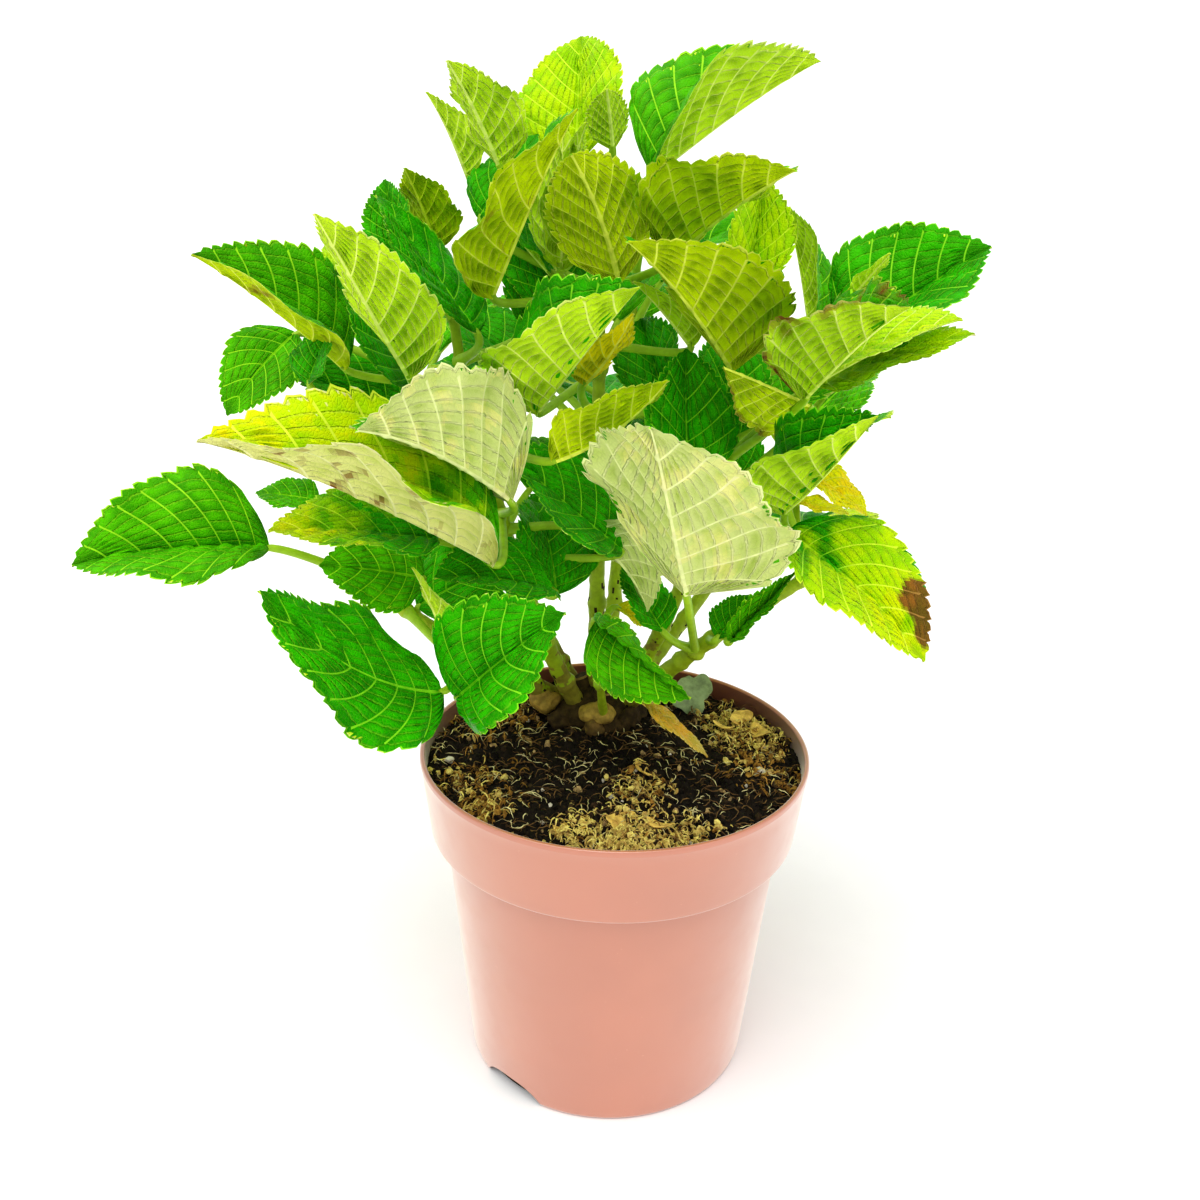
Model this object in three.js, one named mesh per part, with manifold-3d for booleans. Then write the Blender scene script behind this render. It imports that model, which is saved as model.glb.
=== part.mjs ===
// A young bigleaf hydrangea in its nursery pot: pot, soil, woody crown, bare stems and, on each
// stem, one mass of foliage with its stalks and V-folded blades.
// Millimetres, +Z up, front towards -Y. The origin is the middle of the pot's underside.
import * as THREE from 'three';
import { mergeVertices } from 'three/addons/utils/BufferGeometryUtils.js';
import Module from 'manifold-3d';

const wasm = await Module();
wasm.setup();

// ---- driving dimensions ------------------------------------------------------------------------

const GAP = 0.3;                      // clearance between two pieces that touch
const FACETS = 40;                    // sides of everything that is turned

const POT_HEIGHT = 152;
const RIM_RADIUS = 85;
const COLLAR_HEIGHT = 36;
const COLLAR_FOOT_RADIUS = 81.2;
const BODY_TOP_RADIUS = 74.5;
const BASE_RADIUS = 64;
const POT_WALL = 1.8;
const POT_EDGE = 1.5;                 // rounding at the base and under the collar
const SLOT_WIDTH = 34;                // drainage slots through the foot of the wall
const SLOT_HEIGHT = 8;
const SLOT_REACH = 12;                // how far a slot runs in under the floor
const SLOT_HEADINGS = [228, 48];

const SOIL_EDGE_HEIGHT = 144.5;
const SOIL_MOUND = 4.5;

const CROWN_PLACE = [-8, 36, 149];
const CROWN_RADII = [21, 19, 13.5];
const STUMP_RADIUS = 4.2;
const STUMP_LENGTH = 13;
const STUMP_LEANS = [[290, 62], [30, 48], [165, 66]];   // heading and rise of each cut stump

const STEM_SIDES = 8;
const STEM_STEPS = 6;                 // straight pieces in a stem
const TWIG_SIDES = 6;
const STALK_RADII = [1.7, 1.3];       // leaf stalk at the stem and at the blade

const BLADE_STEPS = 6;
const BLADE_THICKNESS = 1.2;
const BLADE_TIP_WIDTH = 0.6;
const SIMPLIFY = 0.1;                 // fused masses lose corners finer than this
const SWELL = 0.66;                   // the outline swells with this power from the leaf's base
const TAPER = 0.98;                   // and shrinks with this power to its tip
const LEAF_SPACE = 5;                 // a leaf grown by rule keeps this far from all others
const STEM_SPACE = 6;                 // and this far from the other stems
const LOWEST_LEAF = 172;              // no such leaf hangs below this height

// Each shoot: where it leaves the crown, heading and rise in degrees at its foot and tip, length,
// the share of it that is bare stem, and radii at foot and tip. Headings turn from +X to +Y.
// Each row of leaves is one leaf: place on the shoot; heading, rise and length of the stalk;
// heading, rise and length of the blade; then its bend, roll, fold and width to length.
// Pairs are leaves that stand opposite each other, each pair a quarter turn from the last, and
// grow only towards the headings between the two given.
const SHOOTS = [
  {
    name: 'centre',
    foot: [-9, 37, 160],
    heading: [262, 242],
    rise: [87, 88],
    length: 216,
    bare: 0.42,
    radii: [4.0, 2.0],
    leaves: [
      [0.98, 121, 44, 28, 92, 62, 60, 10, -22, 22, 0.8],
      [0.98, 350, 40, 27, 29, 31, 86, -5, -3, 46, 0.88],
      [0.98, 200, 25, 45, 225, 60, 45, 0, 15, 30, 0.75],
      [0.95, 169, 20, 57, 195, 68, 36, 0, 5, 30, 0.78],
      [0.85, 232, 4, 64, 316, 59, 78, -5, 30, 26, 0.72],
      [0.85, 190, 30, 56, 25, 55, 40, 0, 20, 10, 0.7],
      [1, 290, 60, 26, 255, 60, 26, 0, 30, 30, 0.7],
      [0.98, 239, -28, 33, 329, 88, 54, 10, 10, 5, 0.7],
      [0.85, 308, 21, 45, 304, 33, 78, 0, -10, 35, 0.75],
      [0.85, 280, 13, 44, 240, 63, 59, 20, 40, 30, 0.72],
      [0.7, 253, -1, 74, 308, 43, 75, -8, 38, 60, 0.83],
      [0.6, 265, 25, 72, 320, 40, 36, -30, 0, 10, 0.7],
      [0.85, 213, 20, 24, 168, 45, 32, 0, 0, 15, 0.85],
      [0.75, 332, 5, 42, 194, 50, 36, 0, 10, 20, 0.8],
      [0.7, 202, 58, 31, 139, 58, 43, 0, -36, 6, 0.75],
      [0.55, 168, 42, 40, 143, 25, 56, 0, -5, 22, 0.75],
      [0.6, 348, 19, 30, 105, 32, 49, -4, -32, 38, 0.75],
      [0.45, 289, 10, 31, 109, 34, 58, 13, -23, 12, 0.75],
      [0.85, 237, 21, 31, 145, 90, 53, -11, 70, 0, 0.77],
    ],
    pairs: { count: 5, first: 0.46, last: 0.95, turn: 60, between: [10, 170], blade: [72, 52] },
  },
  {
    name: 'right_back',
    foot: [5, 40, 157],
    heading: [325, 330],
    rise: [62, 84],
    length: 183,
    bare: 0.45,
    radii: [3.6, 2.0],
    leaves: [
      [0.95, 160, 40, 30, 90, 45, 35, 0, 0, 25, 0.75],
      [0.8, 260, 40, 43, 235, 40, 90, 0, 0, 35, 0.75],
      [0.95, 90, 35, 36, 70, 65, 50, 0, 30, 40, 0.7],
      [0.95, 45, 12, 39, 104, 57, 55, 3, 50, 41, 0.65],
      [0.9, 347, 23, 41, 2, 39, 66, 4, 36, 29, 0.95],
      [0.75, 328, 39, 46, 339, 28, 62, 0, 12, 5, 0.6],
      [0.7, 295, 35, 68, 290, 40, 74, 0, 20, 50, 0.75],
      [0.7, 310, 43, 60, 332, 38, 61, 10, 20, 20, 0.65],
      [0.95, 330, 35, 48, 315, 50, 24, 0, 0, 0, 0.7],
      [0.6, 306, 44, 75, 214, 31, 50, 20, 135, 50, 0.7],
      [0.6, 255, 25, 60, 95, 65, 50, 0, 10, 25, 0.8],
      [0.7, 259, 32, 35, 75, 62, 47, 9, 32, 15, 0.75],
      [0.6, 16, 22, 18, 135, 42, 38, 12, -10, 24, 0.75],
    ],
    pairs: { count: 5, first: 0.48, last: 0.95, turn: 30, between: [0, 170], blade: [72, 52] },
  },
  {
    name: 'left_top',
    foot: [-17, 43, 157],
    heading: [200, 210],
    rise: [60, 84],
    length: 187,
    bare: 0.45,
    radii: [3.6, 2.0],
    leaves: [
      [1, 174, 48, 30, 123, 60, 33, 0, -45, 35, 0.72],
      [1, 118, 56, 29, 230, 67, 36, 0, 10, 20, 0.75],
      [0.9, 290, 30, 34, 155, 50, 65, 0, 10, 5, 0.72],
      [0.75, 257, 27, 77, 229, 57, 70, -5, 8, 28, 0.66],
      [0.85, 201, 10, 49, 204, 46, 71, 7, -26, 42, 0.8],
      [0.75, 225, 36, 37, 198, 62, 55, 0, -30, 5, 0.75],
      [0.8, 172, 20, 77, 225, -33, 45, 10, -30, 10, 0.73],
      [0.7, 209, 25, 78, 50, 60, 24, 0, 0, 20, 0.95],
      [0.9, 21, 23, 30, 84, 59, 56, 19, 32, 34, 0.75],
      [0.7, 168, 14, 27, 177, 27, 61, 7, -32, 32, 0.75],
    ],
    pairs: { count: 5, first: 0.48, last: 0.95, turn: 75, between: [10, 170], blade: [72, 52] },
  },
  {
    name: 'left_front',
    foot: [-18, 30, 157],
    heading: [225, 235],
    rise: [60, 74],
    length: 150,
    bare: 0.5,
    radii: [4.2, 2.2],
    leaves: [
      [0.75, 272, -1, 56, 188, 33, 112, 8, -11, 50, 0.73],
      [0.75, 279, 23, 55, 230, 39, 84, 12, 42, 44, 0.84],
      [0.6, 346, 10, 47, 191, 40, 66, -6, -33, 21, 0.74],
      [1, 307, 1, 49, 340, 22, 55, -36, -25, 27, 0.68],
      [0.6, 243, 24, 59, 202, 17, 63, 10, -10, 15, 0.72],
      [0.52, 252, -12, 80, 213, 18, 83, -50, -32, 0, 0.72],
      [0.52, 258, -9, 88, 330, 50, 63, 10, 70, 25, 0.8],
      [0.54, 296, 8, 36, 217, 28, 56, 15, -18, 20, 0.75],
      [0.54, 307, 0, 27, 104, 44, 52, 19, 25, 19, 0.75],
      [0.7, 352, 3, 33, 356, -36, 43, 22, -48, 33, 0.83],
    ],
  },
  {
    name: 'right_front',
    foot: [6, 32, 156],
    heading: [312, 345],
    rise: [48, 40],
    length: 127,
    bare: 0.4,
    radii: [4.2, 2.4],
    leaves: [
      [0.42, 262, 37, 93, 254, 55, 96, -2, -18, 17, 0.84],
      [0.95, 227, 51, 39, 289, 37, 78, -14, 50, 60, 0.67],
      [0.9, 85, 40, 53, 345, -20, 33, 20, 15, 10, 0.75],
      [0.95, 110, 45, 33, 355, -5, 24, 10, 5, 5, 0.7],
      [1, 214, 37, 30, 317, -15, 74, 20, 17, 22, 0.67],
      [0.42, 225, 35, 26, 137, 46, 34, 0, -5, 20, 0.72],
      [0.5, 275, 25, 16, 35, 45, 24, 0, 15, 25, 0.72],
      [0.6, 262, 0, 18, 355, 54, 40, 0, 60, 60, 0.45],
    ],
  },
  {
    name: 'left_low',
    foot: [-24, 38, 155],
    heading: [214, 205],
    rise: [32, 46],
    length: 120,
    bare: 0.5,
    radii: [4.0, 2.6],
    leaves: [
      [1, 213, 28, 44, 195, 4, 73, 10, -37, 35, 0.85],
      [1, 140, 45, 39, 170, 5, 28, 0, -20, 10, 0.75],
      [1, 342, 9, 27, 204, 19, 43, 8, -60, 20, 0.83],
      [0.8, 304, -4, 42, 222, 70, 44, 0, -10, 10, 0.6],
      [0.54, 205, 49, 28, 20, 24, 49, 2, 39, 7, 0.75],
    ],
  },
  {
    name: 'back',
    foot: [-5, 51, 156],
    heading: [78, 88],
    rise: [60, 76],
    length: 190,
    bare: 0.42,
    radii: [3.8, 2.0],
    leaves: [
      [0.45, 256, 9, 27, 180, 12, 42, 10, -20, 5, 0.7],
    ],
    pairs: { count: 6, first: 0.45, last: 1, turn: 10, between: [0, 360], blade: [86, 50] },
  },
  {
    name: 'back_left',
    foot: [-18, 49, 154],
    heading: [140, 152],
    rise: [44, 64],
    length: 178,
    bare: 0.42,
    radii: [3.8, 2.0],
    leaves: [
      [0.45, 290, 8, 26, 190, 16, 66, 10, -25, 10, 0.7],
    ],
    pairs: { count: 6, first: 0.45, last: 1, turn: 60, between: [0, 360], blade: [84, 50] },
  },
  {
    name: 'back_right',
    foot: [6, 49, 154],
    heading: [38, 30],
    rise: [38, 60],
    length: 150,
    bare: 0.42,
    radii: [3.8, 2.2],
    leaves: [],
    pairs: { count: 6, first: 0.45, last: 1, turn: 35, between: [0, 360], blade: [82, 50] },
  },
];

// A short side shoot on the front of the crown, with no bare stem of its own.
const SPROUT = {
  name: 'sprout',
  foot: [-5, 20, 155],
  heading: [262, 262],
  rise: [55, 70],
  length: 50,
  bare: 0,
  radii: [2.2, 1.3],
  leaves: [
    [0.95, 265, 60, 24, 315, -15, 54, 10, 85, 40, 0.75],
    [0.55, 295, 15, 42, 340, -30, 35, 0, -15, 0, 0.6],
    [0.8, 75, 30, 32, 355, -30, 20, 0, 10, 20, 0.72],
  ],
};

// ---- geometry helpers --------------------------------------------------------------------------

function radians(degrees) {
  return THREE.MathUtils.degToRad(degrees);
}

// Unit vector of a heading in plan and a rise above the level, both in degrees.
function direction(heading, rise) {
  const level = Math.cos(radians(rise));
  return new THREE.Vector3(
    level * Math.cos(radians(heading)),
    level * Math.sin(radians(heading)),
    Math.sin(radians(rise)),
  );
}

// Points of a limb whose heading and rise change evenly from its foot to its tip.
function walk(foot, heading, rise, length, steps) {
  const path = [foot.clone()];
  for (let step = 0; step < steps; step++) {
    const share = (step + 0.5) / steps;
    const along = direction(
      THREE.MathUtils.lerp(heading[0], heading[1], share),
      THREE.MathUtils.lerp(rise[0], rise[1], share),
    );
    path.push(path[step].clone().addScaledVector(along, length / steps));
  }
  return path;
}

function placeOn(path, share) {
  const place = share * (path.length - 1);
  const step = Math.min(Math.floor(place), path.length - 2);
  return path[step].clone().lerp(path[step + 1], place - step);
}

// The stretch of a path between two shares of it, with its own even steps.
function stretch(path, from, to, steps) {
  const points = [];
  for (let step = 0; step <= steps; step++) {
    points.push(placeOn(path, THREE.MathUtils.lerp(from, to, step / steps)));
  }
  return points;
}

function tangent(path, step) {
  const before = path[Math.max(step - 1, 0)];
  const after = path[Math.min(step + 1, path.length - 1)];
  return after.clone().sub(before).normalize();
}

// Closed solid through a row of sections with equal numbers of corners, which turn
// counter-clockwise as seen from the last section.
function loft(sections) {
  const corners = sections[0].length;
  const last = (sections.length - 1) * corners;
  const faces = [];
  for (let ring = 0; ring < last; ring += corners) {
    for (let corner = 0; corner < corners; corner++) {
      const a = ring + corner;
      const b = ring + (corner + 1) % corners;
      faces.push(a, b, b + corners, a, b + corners, a + corners);
    }
  }
  for (let corner = 1; corner + 1 < corners; corner++) {
    faces.push(0, corner + 1, corner);
    faces.push(last, last + corner, last + corner + 1);
  }
  return new wasm.Manifold(new wasm.Mesh({
    numProp: 3,
    vertProperties: new Float32Array(sections.flat().flatMap((point) => point.toArray())),
    triVerts: new Uint32Array(faces),
  }));
}

// Round limb along a path, with a radius for each of its points.
function limb(path, radii, sides) {
  const start = tangent(path, 0);
  const upright = Math.abs(start.z) > 0.9;
  const aside = upright ? new THREE.Vector3(0, 1, 0) : new THREE.Vector3(0, 0, 1);
  return loft(path.map((point, step) => {
    const ahead = tangent(path, step);
    const across = aside.clone().cross(ahead).normalize();
    const over = ahead.clone().cross(across);
    return Array.from({ length: sides }, (_, side) => {
      const angle = 2 * Math.PI * side / sides;
      return point.clone()
        .addScaledVector(across, radii[step] * Math.cos(angle))
        .addScaledVector(over, radii[step] * Math.sin(angle));
    });
  }));
}

// Solid of revolution about Z through points of radius and height, flat at both ends.
function turned(profile) {
  return loft(profile.map(([radius, height]) => Array.from({ length: FACETS }, (_, side) => {
    const angle = 2 * Math.PI * side / FACETS;
    return new THREE.Vector3(radius * Math.cos(angle), radius * Math.sin(angle), height);
  })));
}

function solidOf(geometry) {
  geometry.deleteAttribute('normal');
  geometry.deleteAttribute('uv');
  const merged = mergeVertices(geometry);
  return new wasm.Manifold(new wasm.Mesh({
    numProp: 3,
    vertProperties: new Float32Array(merged.attributes.position.array),
    triVerts: new Uint32Array(merged.index.array),
  }));
}

// ---- pot, soil and crown -----------------------------------------------------------------------

// Outline of the pot's outside, moved inwards by the given distance above the given floor.
function potProfile(inset, floor, top) {
  const step = POT_HEIGHT - COLLAR_HEIGHT + inset;
  return [
    [BASE_RADIUS - POT_EDGE - inset, floor],
    [BASE_RADIUS - inset, floor + POT_EDGE],
    [BODY_TOP_RADIUS - inset, step],
    [COLLAR_FOOT_RADIUS - POT_EDGE - inset, step],
    [COLLAR_FOOT_RADIUS - inset, step + POT_EDGE],
    [RIM_RADIUS - inset, top],
  ];
}

function drainageSlot(heading) {
  const outline = new THREE.Shape();
  outline.moveTo(-SLOT_WIDTH / 2, -SLOT_HEIGHT);
  outline.lineTo(SLOT_WIDTH / 2, -SLOT_HEIGHT);
  outline.lineTo(SLOT_WIDTH / 2, 0);
  outline.absellipse(0, 0, SLOT_WIDTH / 2, SLOT_HEIGHT, 0, Math.PI, false);
  const geometry = new THREE.ExtrudeGeometry(outline, {
    depth: 2 * SLOT_REACH,
    curveSegments: 10,
    bevelEnabled: false,
  });
  geometry.rotateX(Math.PI / 2);
  geometry.translate(0, -BASE_RADIUS + SLOT_REACH, 0);
  geometry.rotateZ(radians(heading - 270));
  return solidOf(geometry);
}

function potSolid() {
  let pot = turned(potProfile(0, 0, POT_HEIGHT));
  pot = pot.subtract(turned(potProfile(POT_WALL, POT_WALL, POT_HEIGHT + 1)));
  for (const heading of SLOT_HEADINGS) {
    pot = pot.subtract(drainageSlot(heading));
  }
  return pot;
}

function knob(growth) {
  const geometry = new THREE.SphereGeometry(1, 14, 8);
  geometry.rotateX(Math.PI / 2);
  geometry.scale(...CROWN_RADII.map((radius) => radius + growth));
  geometry.translate(...CROWN_PLACE);
  return solidOf(geometry);
}

function soilSolid() {
  const inset = POT_WALL + GAP;
  const below = (POT_HEIGHT - SOIL_EDGE_HEIGHT) / (COLLAR_HEIGHT - POT_EDGE);
  const edgeRadius = THREE.MathUtils.lerp(RIM_RADIUS, COLLAR_FOOT_RADIUS, below) - inset;
  const side = potProfile(inset, inset, SOIL_EDGE_HEIGHT).slice(0, -1);
  const mound = [1, 0.8, 0.5, 0.15].map((share) => [
    edgeRadius * share,
    SOIL_EDGE_HEIGHT + SOIL_MOUND * (1 - share * share),
  ]);
  return turned([...side, ...mound]).subtract(knob(GAP));
}

function crownSolid(stems) {
  let crown = knob(0);
  for (const [heading, rise] of STUMP_LEANS) {
    const foot = new THREE.Vector3(...CROWN_PLACE);
    const reach = STUMP_LENGTH + CROWN_RADII[2] / 2;
    const path = walk(foot, [heading, heading], [rise, rise], reach, 1);
    crown = crown.add(limb(path, [STUMP_RADIUS, STUMP_RADIUS], STEM_SIDES));
  }
  for (const stem of stems) {
    crown = crown.subtract(stem);
  }
  return crown;
}

// ---- shoots and leaves -------------------------------------------------------------------------

function shootPath(shoot) {
  const foot = new THREE.Vector3(...shoot.foot);
  return walk(foot, shoot.heading, shoot.rise, shoot.length, 3 * STEM_STEPS);
}

// Part of a shoot as a solid, grown outwards and backwards by the given clearance.
function stemPiece(shoot, from, to, steps, sides, growth = 0) {
  const path = stretch(shootPath(shoot), from, to, steps);
  const radii = path.map((_, step) => {
    const share = THREE.MathUtils.lerp(from, to, step / steps);
    return THREE.MathUtils.lerp(shoot.radii[0], shoot.radii[1], share) + growth;
  });
  path[0].addScaledVector(tangent(path, 0), -growth);
  return limb(path, radii, sides);
}

// Half of a blade's width along it, as a share of the widest.
function outline(share) {
  const widest = SWELL / (SWELL + TAPER);
  const rising = Math.pow(share / widest, SWELL);
  return rising * Math.pow((1 - share) / (1 - widest), TAPER);
}

function unpackLeaf(row) {
  const [at, stalkHeading, stalkRise, stalkLength, ...blade] = row;
  const [heading, rise, length, bend, roll, fold, width] = blade;
  return { at, stalkHeading, stalkRise, stalkLength, heading, rise, length, bend, roll, fold, width };
}

// Where a leaf lies: foot of its stalk, points along its midrib, and at each the direction ahead,
// the upward normal, the side direction and half the width of the blade.
function leafFrame(path, leaf) {
  const root = placeOn(path, leaf.at);
  const reach = direction(leaf.stalkHeading, leaf.stalkRise).multiplyScalar(leaf.stalkLength);
  const foot = root.clone().add(reach);
  const headings = [leaf.heading, leaf.heading];
  const rises = [leaf.rise, leaf.rise - leaf.bend];
  const points = walk(foot, headings, rises, leaf.length, BLADE_STEPS);
  const stations = points.map((point, step) => {
    const share = step / BLADE_STEPS;
    const rise = THREE.MathUtils.lerp(rises[0], rises[1], share);
    const ahead = direction(leaf.heading, rise);
    const normal = direction(leaf.heading, rise + 90).applyAxisAngle(ahead, radians(leaf.roll));
    const side = ahead.clone().cross(normal);
    const full = outline(share) * leaf.length * leaf.width / 2;
    return { point, ahead, normal, side, half: Math.max(full, BLADE_TIP_WIDTH) };
  });
  return { root, foot, stations };
}

// Edge of a blade on one side: its direction from the midrib and the half's own normal.
function wing(station, fold, sign) {
  const reach = station.side.clone().multiplyScalar(sign * Math.cos(fold));
  reach.addScaledVector(station.normal, Math.sin(fold));
  const normal = station.normal.clone().multiplyScalar(Math.cos(fold));
  normal.addScaledVector(station.side, -sign * Math.sin(fold));
  return { edge: station.point.clone().addScaledVector(reach, station.half), normal };
}

// Folded section of a blade: midrib, one edge, keel and the other edge.
function bladeSection(station, fold) {
  const left = wing(station, fold, 1);
  const right = wing(station, fold, -1);
  const keel = station.point.clone();
  keel.addScaledVector(station.normal, -BLADE_THICKNESS / Math.cos(fold));
  return [
    station.point,
    left.edge,
    left.edge.clone().addScaledVector(left.normal, -BLADE_THICKNESS),
    keel,
    right.edge.clone().addScaledVector(right.normal, -BLADE_THICKNESS),
    right.edge,
  ];
}

// Six-sided section of a stalk, turned so that its first corner is on the blade's upper side.
function stalkSection(point, ahead, normal, radius) {
  const side = ahead.clone().cross(normal).normalize();
  const over = side.clone().cross(ahead);
  return Array.from({ length: 6 }, (_, corner) => {
    const angle = corner * Math.PI / 3;
    return point.clone()
      .addScaledVector(over, radius * Math.cos(angle))
      .addScaledVector(side, radius * Math.sin(angle));
  });
}

// A stalk that opens out into its blade.
function leafSolid(frame, leaf) {
  const { root, foot, stations } = frame;
  const { ahead, normal } = stations[0];
  const along = foot.clone().sub(root).normalize();
  const between = along.clone().add(ahead).normalize();
  return loft([
    stalkSection(root, along, normal, STALK_RADII[0]),
    stalkSection(foot, between, normal, STALK_RADII[1]),
    ...stations.slice(1).map((station) => bladeSection(station, radians(leaf.fold))),
  ]);
}

// Points that stand for a leaf when the rule looks for free space.
function leafPoints(frame, leaf) {
  const fold = radians(leaf.fold);
  const stalk = [0.35, 0.6, 0.85].map((share) => frame.root.clone().lerp(frame.foot, share));
  return stalk.concat(frame.stations.slice(1).flatMap((station) => {
    const left = wing(station, fold, 1).edge;
    const right = wing(station, fold, -1).edge;
    const halves = [left, right].map((edge) => edge.clone().lerp(station.point, 0.5));
    return [station.point, left, right, ...halves];
  }));
}

function distanceTo(points, others) {
  let nearest = Infinity;
  for (const point of points) {
    for (const other of others) {
      nearest = Math.min(nearest, point.distanceTo(other));
    }
  }
  return nearest;
}

// Numbers between -1 and 1 that follow from a seed.
function seeded(seed) {
  let state = seed;
  return () => {
    state = (Math.imul(state, 1664525) + 1013904223) >>> 0;
    return state / 2147483648 - 1;
  };
}

// Leaves in opposite pairs up a shoot, kept where they find free space.
function pairedLeaves(shoot, path, others, taken, random) {
  const { count, first, last, turn, between, blade } = shoot.pairs;
  const grown = [];
  for (let pair = 0; pair < count; pair++) {
    const share = pair / (count - 1);
    for (const side of [0, 180]) {
      const heading = (turn + 90 * pair + side + 12 * random() + 360) % 360;
      const length = THREE.MathUtils.lerp(blade[0], blade[1], share) * (1 + 0.08 * random());
      const rise = THREE.MathUtils.lerp(8, 48, share) + 8 * random();
      const leaf = unpackLeaf([
        THREE.MathUtils.lerp(first, last, share),
        heading, rise + 16, 0.42 * length,
        heading + 15 * random(), rise, length,
        25 + 10 * random(), 18 * random(), 22 + 8 * random(), 0.72,
      ]);
      const points = leafPoints(leafFrame(path, leaf), leaf);
      const facing = heading >= between[0] && heading <= between[1];
      const high = points.every((point) => point.z > LOWEST_LEAF);
      const clearOfStems = distanceTo(points, others) > STEM_SPACE;
      if (facing && high && clearOfStems && distanceTo(points, taken) > LEAF_SPACE) {
        grown.push(leaf);
        taken.push(...points);
      }
    }
  }
  return grown;
}

// All leaves of all shoots: those given one by one first, then the pairs in the space left.
function growLeaves(shoots) {
  const paths = shoots.map(shootPath);
  const leaves = shoots.map((shoot) => shoot.leaves.map(unpackLeaf));
  const taken = leaves.flatMap((list, index) => list.flatMap(
    (leaf) => leafPoints(leafFrame(paths[index], leaf), leaf)));
  shoots.forEach((shoot, index) => {
    if (shoot.pairs) {
      const others = paths.filter((_, other) => other !== index).flat();
      const random = seeded(101 + index);
      leaves[index].push(...pairedLeaves(shoot, paths[index], others, taken, random));
    }
  });
  return leaves;
}

// One mass of foliage: the leafy end of its shoot with every stalk and blade fused on.
function foliageSolid(shoot, leaves) {
  const path = shootPath(shoot);
  const start = shoot.bare + (shoot.bare > 0 ? GAP / shoot.length : 0);
  const pieces = [stemPiece(shoot, start, 1, STEM_STEPS, TWIG_SIDES)];
  for (const leaf of leaves) {
    pieces.push(leafSolid(leafFrame(path, leaf), leaf));
  }
  return wasm.Manifold.union(pieces).simplify(SIMPLIFY);
}

// ---- the plant ---------------------------------------------------------------------------------

function material(colour, roughness) {
  return new THREE.MeshStandardMaterial({ color: colour, roughness, metalness: 0 });
}

const TERRACOTTA = material(0xdf9a82, 0.42);
const PEAT = material(0x30261b, 0.95);
const BARK = material(0x8d7a45, 0.8);
const GREEN_STEM = material(0x9fb04c, 0.6);
const FOLIAGE = material(0x5cae22, 0.5);

function named(name, solid, look) {
  const { vertProperties, triVerts, numProp } = solid.getMesh();
  const geometry = new THREE.BufferGeometry();
  const positions = new Float32Array(vertProperties.length / numProp * 3);
  for (let vertex = 0; vertex < positions.length / 3; vertex++) {
    positions.set(vertProperties.subarray(vertex * numProp, vertex * numProp + 3), vertex * 3);
  }
  geometry.setAttribute('position', new THREE.BufferAttribute(positions, 3));
  geometry.setIndex(new THREE.BufferAttribute(new Uint32Array(triVerts), 1));
  geometry.computeVertexNormals();
  const mesh = new THREE.Mesh(geometry, look.clone());
  mesh.name = name;
  return mesh;
}

const hydrangea = new THREE.Group();
const shoots = [...SHOOTS, SPROUT];
const leaves = growLeaves(shoots);
const sockets = shoots.map((shoot) => {
  const end = shoot.bare > 0 ? shoot.bare : 1;
  return stemPiece(shoot, 0, end, STEM_STEPS, STEM_SIDES, GAP);
});

hydrangea.add(named('pot', potSolid(), TERRACOTTA));
hydrangea.add(named('soil', soilSolid(), PEAT));
hydrangea.add(named('crown', crownSolid(sockets), BARK));
for (const shoot of SHOOTS) {
  const stem = stemPiece(shoot, 0, shoot.bare, STEM_STEPS, STEM_SIDES);
  hydrangea.add(named(`stem_${shoot.name}`, stem, GREEN_STEM));
}
shoots.forEach((shoot, index) => {
  hydrangea.add(named(`foliage_${shoot.name}`, foliageSolid(shoot, leaves[index]), FOLIAGE));
});

export default hydrangea;
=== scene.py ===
"""A young bigleaf hydrangea in its terracotta-coloured nursery pot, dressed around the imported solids.

Lengths are in millimetres and become metres where a mesh is made. Headings turn in plan from +X
towards +Y and rises are above the level, both in degrees.
"""
import math
from itertools import combinations

import bpy
import numpy as np
from mathutils import Matrix


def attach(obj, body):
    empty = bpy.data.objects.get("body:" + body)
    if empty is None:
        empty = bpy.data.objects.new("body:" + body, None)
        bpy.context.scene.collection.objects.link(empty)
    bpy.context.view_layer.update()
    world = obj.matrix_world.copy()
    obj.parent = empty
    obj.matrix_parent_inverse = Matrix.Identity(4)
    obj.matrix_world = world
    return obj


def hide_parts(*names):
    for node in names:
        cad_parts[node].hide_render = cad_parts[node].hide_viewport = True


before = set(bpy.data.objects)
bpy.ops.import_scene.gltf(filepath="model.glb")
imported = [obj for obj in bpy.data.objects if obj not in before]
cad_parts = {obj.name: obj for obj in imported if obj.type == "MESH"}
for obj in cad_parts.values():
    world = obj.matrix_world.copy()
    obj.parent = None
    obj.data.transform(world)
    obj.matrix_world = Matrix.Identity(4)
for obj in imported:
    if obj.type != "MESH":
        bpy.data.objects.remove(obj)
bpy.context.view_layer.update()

MM = 0.001

# ---- sizes of the source, repeated

POT_HEIGHT = 152
RIM_RADIUS = 85
COLLAR_HEIGHT = 36
COLLAR_FOOT_RADIUS = 81.2
BODY_TOP_RADIUS = 74.5
BASE_RADIUS = 64
POT_WALL = 1.8
SLOT_WIDTH = 34
SLOT_HEIGHT = 8
SLOT_REACH = 12
SLOT_HEADINGS = (228, 48)

SOIL_EDGE_HEIGHT = 144.5
SOIL_MOUND = 4.5

CROWN_PLACE = np.array([-8.0, 36.0, 149.0])
CROWN_RADII = np.array([21.0, 19.0, 13.5])
STUMP_RADIUS = 4.2
STUMP_LENGTH = 13
STUMP_LEANS = ((290, 62), (30, 48), (165, 66))

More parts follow.
